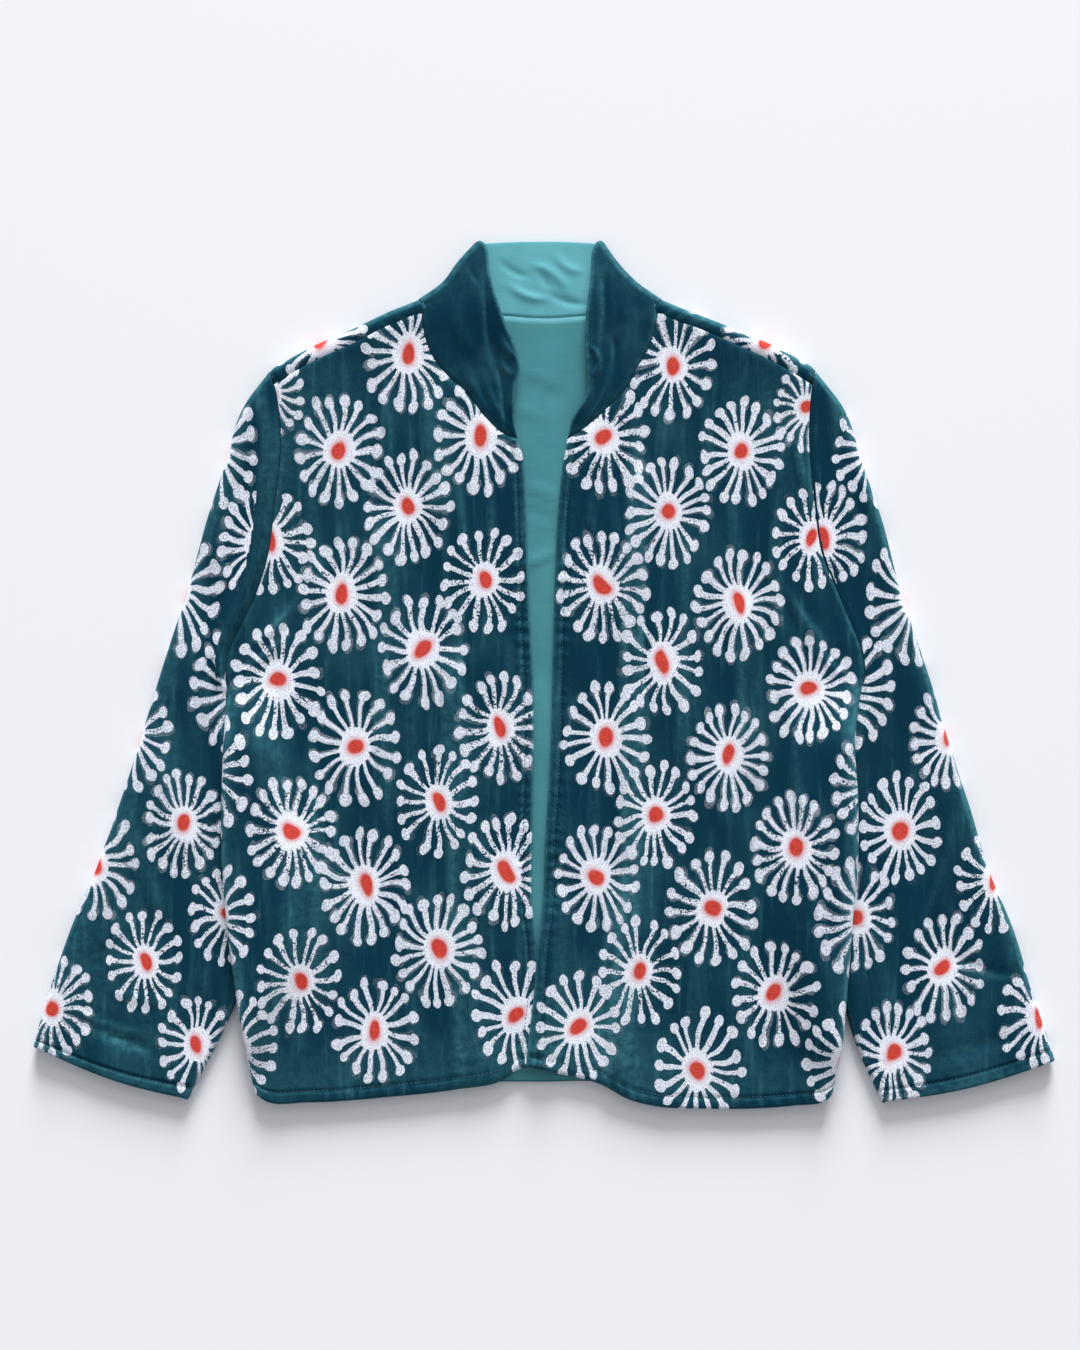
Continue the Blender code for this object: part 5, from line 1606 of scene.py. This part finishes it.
@dataclass
class Collar(ClothPiece):
    """Stand collar of plain velvet: a back part on the floor, two folds and two flaps over the fronts."""

    edge_rise: float = 5.0
    edge_radius: float = 2.2
    flap_end: float = 0.95
    band_height: float = 60.0
    top_round: float = 0.5
    top_from: float = 345.6

    def up_shares(self) -> Array:
        """Shares from the neck seam to the free edge."""
        return steps((0.06, 0.012), (0.92, 0.02), (1.0, 0.01))

    def flap_shares(self) -> Array:
        """Shares from the collar's front end to its fold."""
        return steps((0.04, 0.008), (self.flap_end, 0.011), (1.0, 0.0125))

    def fold_line(self, side: Side) -> Array:
        """The fold from the seam to the top edge."""
        return edge(COLLAR_FOLDS[side], self.up_shares())

    def fold_inward(self, side: Side) -> Array:
        """Direction in plan from the fold to the collar's inside."""
        line = self.fold_line(side)
        run = (line[-1] - line[0]) / np.linalg.norm(line[-1] - line[0])
        return -side.out * np.array([run[1], -run[0]])

    def fold_start(self, side: Side) -> Array:
        """Where the fold starts to roll, from the seam to the top edge."""
        return self.fold_line(side) + LAY.fold_radius * self.fold_inward(side)

    def flap(self, side: Side) -> Laid:
        """The part over one front, from its front end to its fold."""
        up_shares = self.up_shares()
        along_shares = self.flap_shares()
        fold = self.fold_start(side)
        neckline = edge(NECKLINES[side], np.minimum(along_shares / self.flap_end, 1.0))
        rest = np.clip((along_shares - self.flap_end) / (1 - self.flap_end), 0, 1)[:, None]
        seam = (1 - rest) * neckline + rest * fold[0]
        free = edge(COLLAR_EDGES[side] + [Point(*fold[-1])], along_shares)
        plan = seam[None] + up_shares[:, None, None] * (free - seam)[None]
        straight = fold[0] + up_shares[:, None] * (fold[-1] - fold[0])
        plan += (fold - straight)[:, None] * along_shares[None, :, None] ** 2
        x, y = plan[..., 0], plan[..., 1]
        along = np.broadcast_to(along_shares[None], x.shape)
        up = np.broadcast_to(up_shares[:, None], x.shape)
        fold_rise, _ = crease_heights(FOLDS, x, y)
        fine, tone_with_painted_light = crease_heights(COLLAR_CREASES, x, y)
        z = LAY.height + LAY.shoulder_rise(x, y) + fold_rise
        z = z + (2 * LAY.fold_radius - z) * smooth_step(0.75, 1.0, along)
        z += self.edge_rise * up * up * smooth_step(0, 0.2, along) * smooth_step(1.0, 0.7, along)
        to_edge = np.linalg.norm(plan - plan[-1:], axis=2)
        to_seam = np.linalg.norm(plan - plan[:1], axis=2)
        to_end = np.linalg.norm(plan - plan[:, :1], axis=2)
        waves = (1.5 * fine + 0.8 * drape(1.3 * x, 0.8 * y)) * smooth_step(0, 8, to_seam)
        z += waves * smooth_step(1.0, 0.85, along)
        z -= lip(to_edge, self.edge_radius) + 1.8 * bell(to_seam, 1.9) + lip(to_end, self.edge_radius)
        # Painted highlights on the creases' flanks, and painted sheen along the free edge, beside the seam and
        # towards the fold.
        tone_with_painted_light = 0.8 * tone_with_painted_light + 0.85 * bell(to_edge - 1.2, 1.5) + 0.12 * bell(to_seam - 2, 2.5)
        tone_with_painted_light += 0.14 * smooth_step(0.85, 1.0, along)
        return Laid(np.stack([x, y, z], axis=2), plan, tone_with_painted_light)

    def roll(self, side: Side) -> Laid:
        """The fold of one side, from the flap to the part underneath."""
        radius = LAY.fold_radius
        columns, flats = [], []
        for turn in np.linspace(0, math.pi, 15)[1:-1]:
            plan = self.fold_line(side) + radius * (1 - math.sin(turn)) * self.fold_inward(side)
            columns.append(np.column_stack([plan, np.full(len(plan), radius * (1 + math.cos(turn)))]))
            flats.append(self.fold_start(side) - radius * turn * self.fold_inward(side))
        points = np.stack(columns, axis=1)
        rim = lip((1 - self.up_shares()) * self.band_height, self.edge_radius)[:, None]
        points[..., 2] = radius + (points[..., 2] - radius) * (1 - rim / radius)
        # Painted sheen all over the fold.
        return Laid(points, np.stack(flats, axis=1), np.full(points.shape[:2], 0.36))

    def back_part(self) -> Laid:
        """The part on the floor, from left fold to right fold."""
        shares = np.linspace(0, 1, 56)
        left = self.fold_start(Side.LEFT)
        right = self.fold_start(Side.RIGHT)
        seam = edge(BACK_NECK, shares)
        near = (1 - smooth_step(0, 0.06, shares))[:, None]
        far = smooth_step(0.94, 1.0, shares)[:, None]
        seam += near * (left[0] - seam[0]) + far * (right[0] - seam[-1])
        top = edge([Point(*left[-1])] + COLLAR_TOP + [Point(*right[-1])], shares)
        plan = patch(seam, top, left, right, shares, self.up_shares())
        rim = lip((1 - self.up_shares()) * self.band_height, self.edge_radius)
        z = np.broadcast_to(rim[:, None], plan.shape[:2])
        return Laid(np.dstack([plan, z]), plan, np.full(plan.shape[:2], 0.1))

    def lay(self) -> Laid:
        """Works out the collar as one band from its left front end to its right one."""
        parts = [self.flap(Side.LEFT), self.roll(Side.LEFT), self.back_part()]
        for part in (self.roll(Side.RIGHT), self.flap(Side.RIGHT)):
            parts.append(Laid(part.points[:, ::-1], part.flat[:, ::-1], part.painted_light_and_tone[:, ::-1]))
        kinds = zip(*((part.points, part.flat, part.painted_light_and_tone) for part in parts))
        whole = Laid(*(np.concatenate(kind, axis=1) for kind in kinds))
        whole.points[..., 1] -= self.top_round * np.maximum(whole.points[..., 1] - self.top_from, 0.0)
        return whole

    def declare(self, panel: bpy.types.Object, laid: Laid) -> None:
        """Does nothing: the band has no pieces sewn on it."""


@dataclass
class CollarLining(ClothPiece):
    """Lining inside the back of the collar."""

    collar: Optional[Collar] = None
    height: float = 4.5

    def lay(self) -> Laid:
        """Works out the lining on the inside of the collar's back part."""
        part = self.collar.back_part()
        points = part.points[:, 1:-1].copy()
        flat = part.flat[:, 1:-1]
        x, y = points[..., 0], points[..., 1]
        height, _ = crease_heights(COLLAR_LINING_CREASES, x, y)
        to_seam = np.linalg.norm(flat - flat[:1], axis=2)
        to_top = np.linalg.norm(flat - flat[-1:], axis=2)
        points[..., 2] = self.height + 1.6 * height * smooth_step(0, 6, to_seam) * smooth_step(0, 6, to_top)
        points[..., 2] += 0.3 * drape(1.6 * x, 1.2 * y) * smooth_step(0, 10, to_seam)
        points[..., 2] -= 0.9 * bell(to_seam, 1.4) + 0.15 * bell(to_top, 1.6)
        return Laid(points, flat, np.zeros_like(x))


@dataclass
class Studio:
    """Floor, camera and soft light."""

    picture_width: float = 864.0
    picture_middle: tuple[float, float] = (-3.3, -1.15)
    camera_height: float = 2600.0
    cloth_height: float = 9.0
    key_place: tuple[float, float, float] = (0.12, 1.6, 0.47)
    key_power: float = 5.4
    key_spread: float = 0.42
    fill_place: tuple[float, float, float] = (0.2, 1.7, 1.8)
    fill_power: float = 8.0
    sky: float = 0.43
    sky_colour: Colour = (0.94, 0.955, 1.0, 1.0)
    fill_size: tuple[float, float] = (1.8, 1.2)
    sensor_width: float = 36.0
    floor_reach: float = 4.0
    floor_gap: float = 0.0002

    def floor(self) -> None:
        """Lays a pale floor just under the jacket."""
        sheet = bmesh.new()
        bmesh.ops.create_grid(sheet, x_segments=1, y_segments=1, size=self.floor_reach)
        bmesh.ops.translate(sheet, verts=sheet.verts[:], vec=(0.0, 0.0, -self.floor_gap))
        mesh = finished("floor", sheet)
        mesh.materials.append(FloorFinish("floor_paper").material())
        floor = placed("floor", mesh)

    def camera(self) -> None:
        """Hangs the camera over the jacket, looking straight down."""
        lens = bpy.data.cameras.new("camera")
        lens.sensor_fit = "HORIZONTAL"
        lens.sensor_width = self.sensor_width
        lens.lens = self.sensor_width * (self.camera_height - self.cloth_height) / self.picture_width
        camera = placed("camera", lens)
        camera.location = Vector((*self.picture_middle, self.camera_height)) * MM
        bpy.context.scene.camera = camera

    @staticmethod
    def hang(lamp: bpy.types.Light, place: tuple[float, float, float]) -> None:
        """Hangs a light at a place, turned towards the jacket."""
        light = placed(lamp.name, lamp)
        light.location = place
        light.rotation_euler = (-Vector(place)).to_track_quat("-Z", "Y").to_euler()

    def key(self) -> None:
        """Hangs a far soft key light beyond the collar."""
        lamp = bpy.data.lights.new("key", "SUN")
        lamp.energy = self.key_power
        lamp.angle = self.key_spread
        self.hang(lamp, self.key_place)

    def fill(self) -> None:
        """Hangs a weak soft box beyond the collar, so that the light falls off towards the hem."""
        box = bpy.data.lights.new("fill", "AREA")
        box.shape = "RECTANGLE"
        box.size, box.size_y = self.fill_size
        box.energy = self.fill_power
        self.hang(box, self.fill_place)

    def build(self) -> None:
        """Sets up the floor, the camera and the lights."""
        self.floor()
        self.camera()
        self.key()
        self.fill()
        world = bpy.data.worlds.new("studio")
        world.use_nodes = True
        sky = world.node_tree.nodes["Background"]
        sky.inputs["Color"].default_value = self.sky_colour
        sky.inputs["Strength"].default_value = self.sky
        bpy.context.scene.world = world
        bpy.context.scene.view_settings.view_transform = "Standard"


def main() -> None:
    """Builds the studio and the jacket."""
    logging.basicConfig(level=logging.INFO, format="%(message)s")
    Studio().build()
    printed = VelvetFinish("printed_velvet", flowers=StarburstPrint()).material()
    plain = VelvetFinish("plain_velvet", streak=0.10, cloud=0.42).material()
    cotton = LiningFinish("lining_cotton").material()
    light_cotton = LiningFinish(
        "collar_lining_cotton", colour=(0.130, 0.460, 0.520, 1.0), shade=(0.097, 0.372, 0.425, 1.0))
    collar_cotton = light_cotton.material()
    thread = ThreadFinish("sewing_thread").material()
    back = Back("back", "printed_velvet", printed, cotton, turned=True)
    collar = Collar("collar", "plain_velvet", plain, cotton, turned=True, slope_light_share=0.6)
    pieces: list[ClothPiece] = [
        back,
        BackLining("back_lining", "lining", cotton, cotton, wall=0.7, back=back),
        Sleeve("sleeve_left", "printed_velvet", printed, cotton, ring=True, side=Side.LEFT, thread=thread),
        Sleeve(
            "sleeve_right", "printed_velvet", printed, cotton, turned=True, ring=True, side=Side.RIGHT,
            thread=thread, underarm_tuck=6.0, roll_width=7.0, roll_height=0.5, bare_share=0.2,
            stitch_in=10.0),
        Front("front_left", "printed_velvet", printed, cotton, side=Side.LEFT, thread=thread),
        Front("front_right", "printed_velvet", printed, cotton, turned=True, side=Side.RIGHT, thread=thread),
        collar,
        CollarLining("collar_lining", "lining", collar_cotton, collar_cotton, wall=0.7, collar=collar),
    ]
    for piece in pieces:
        made = piece.build()
        LOG.info("%s: %d faces", made.name, len(made.data.polygons))


if __name__ == "__main__":
    main()
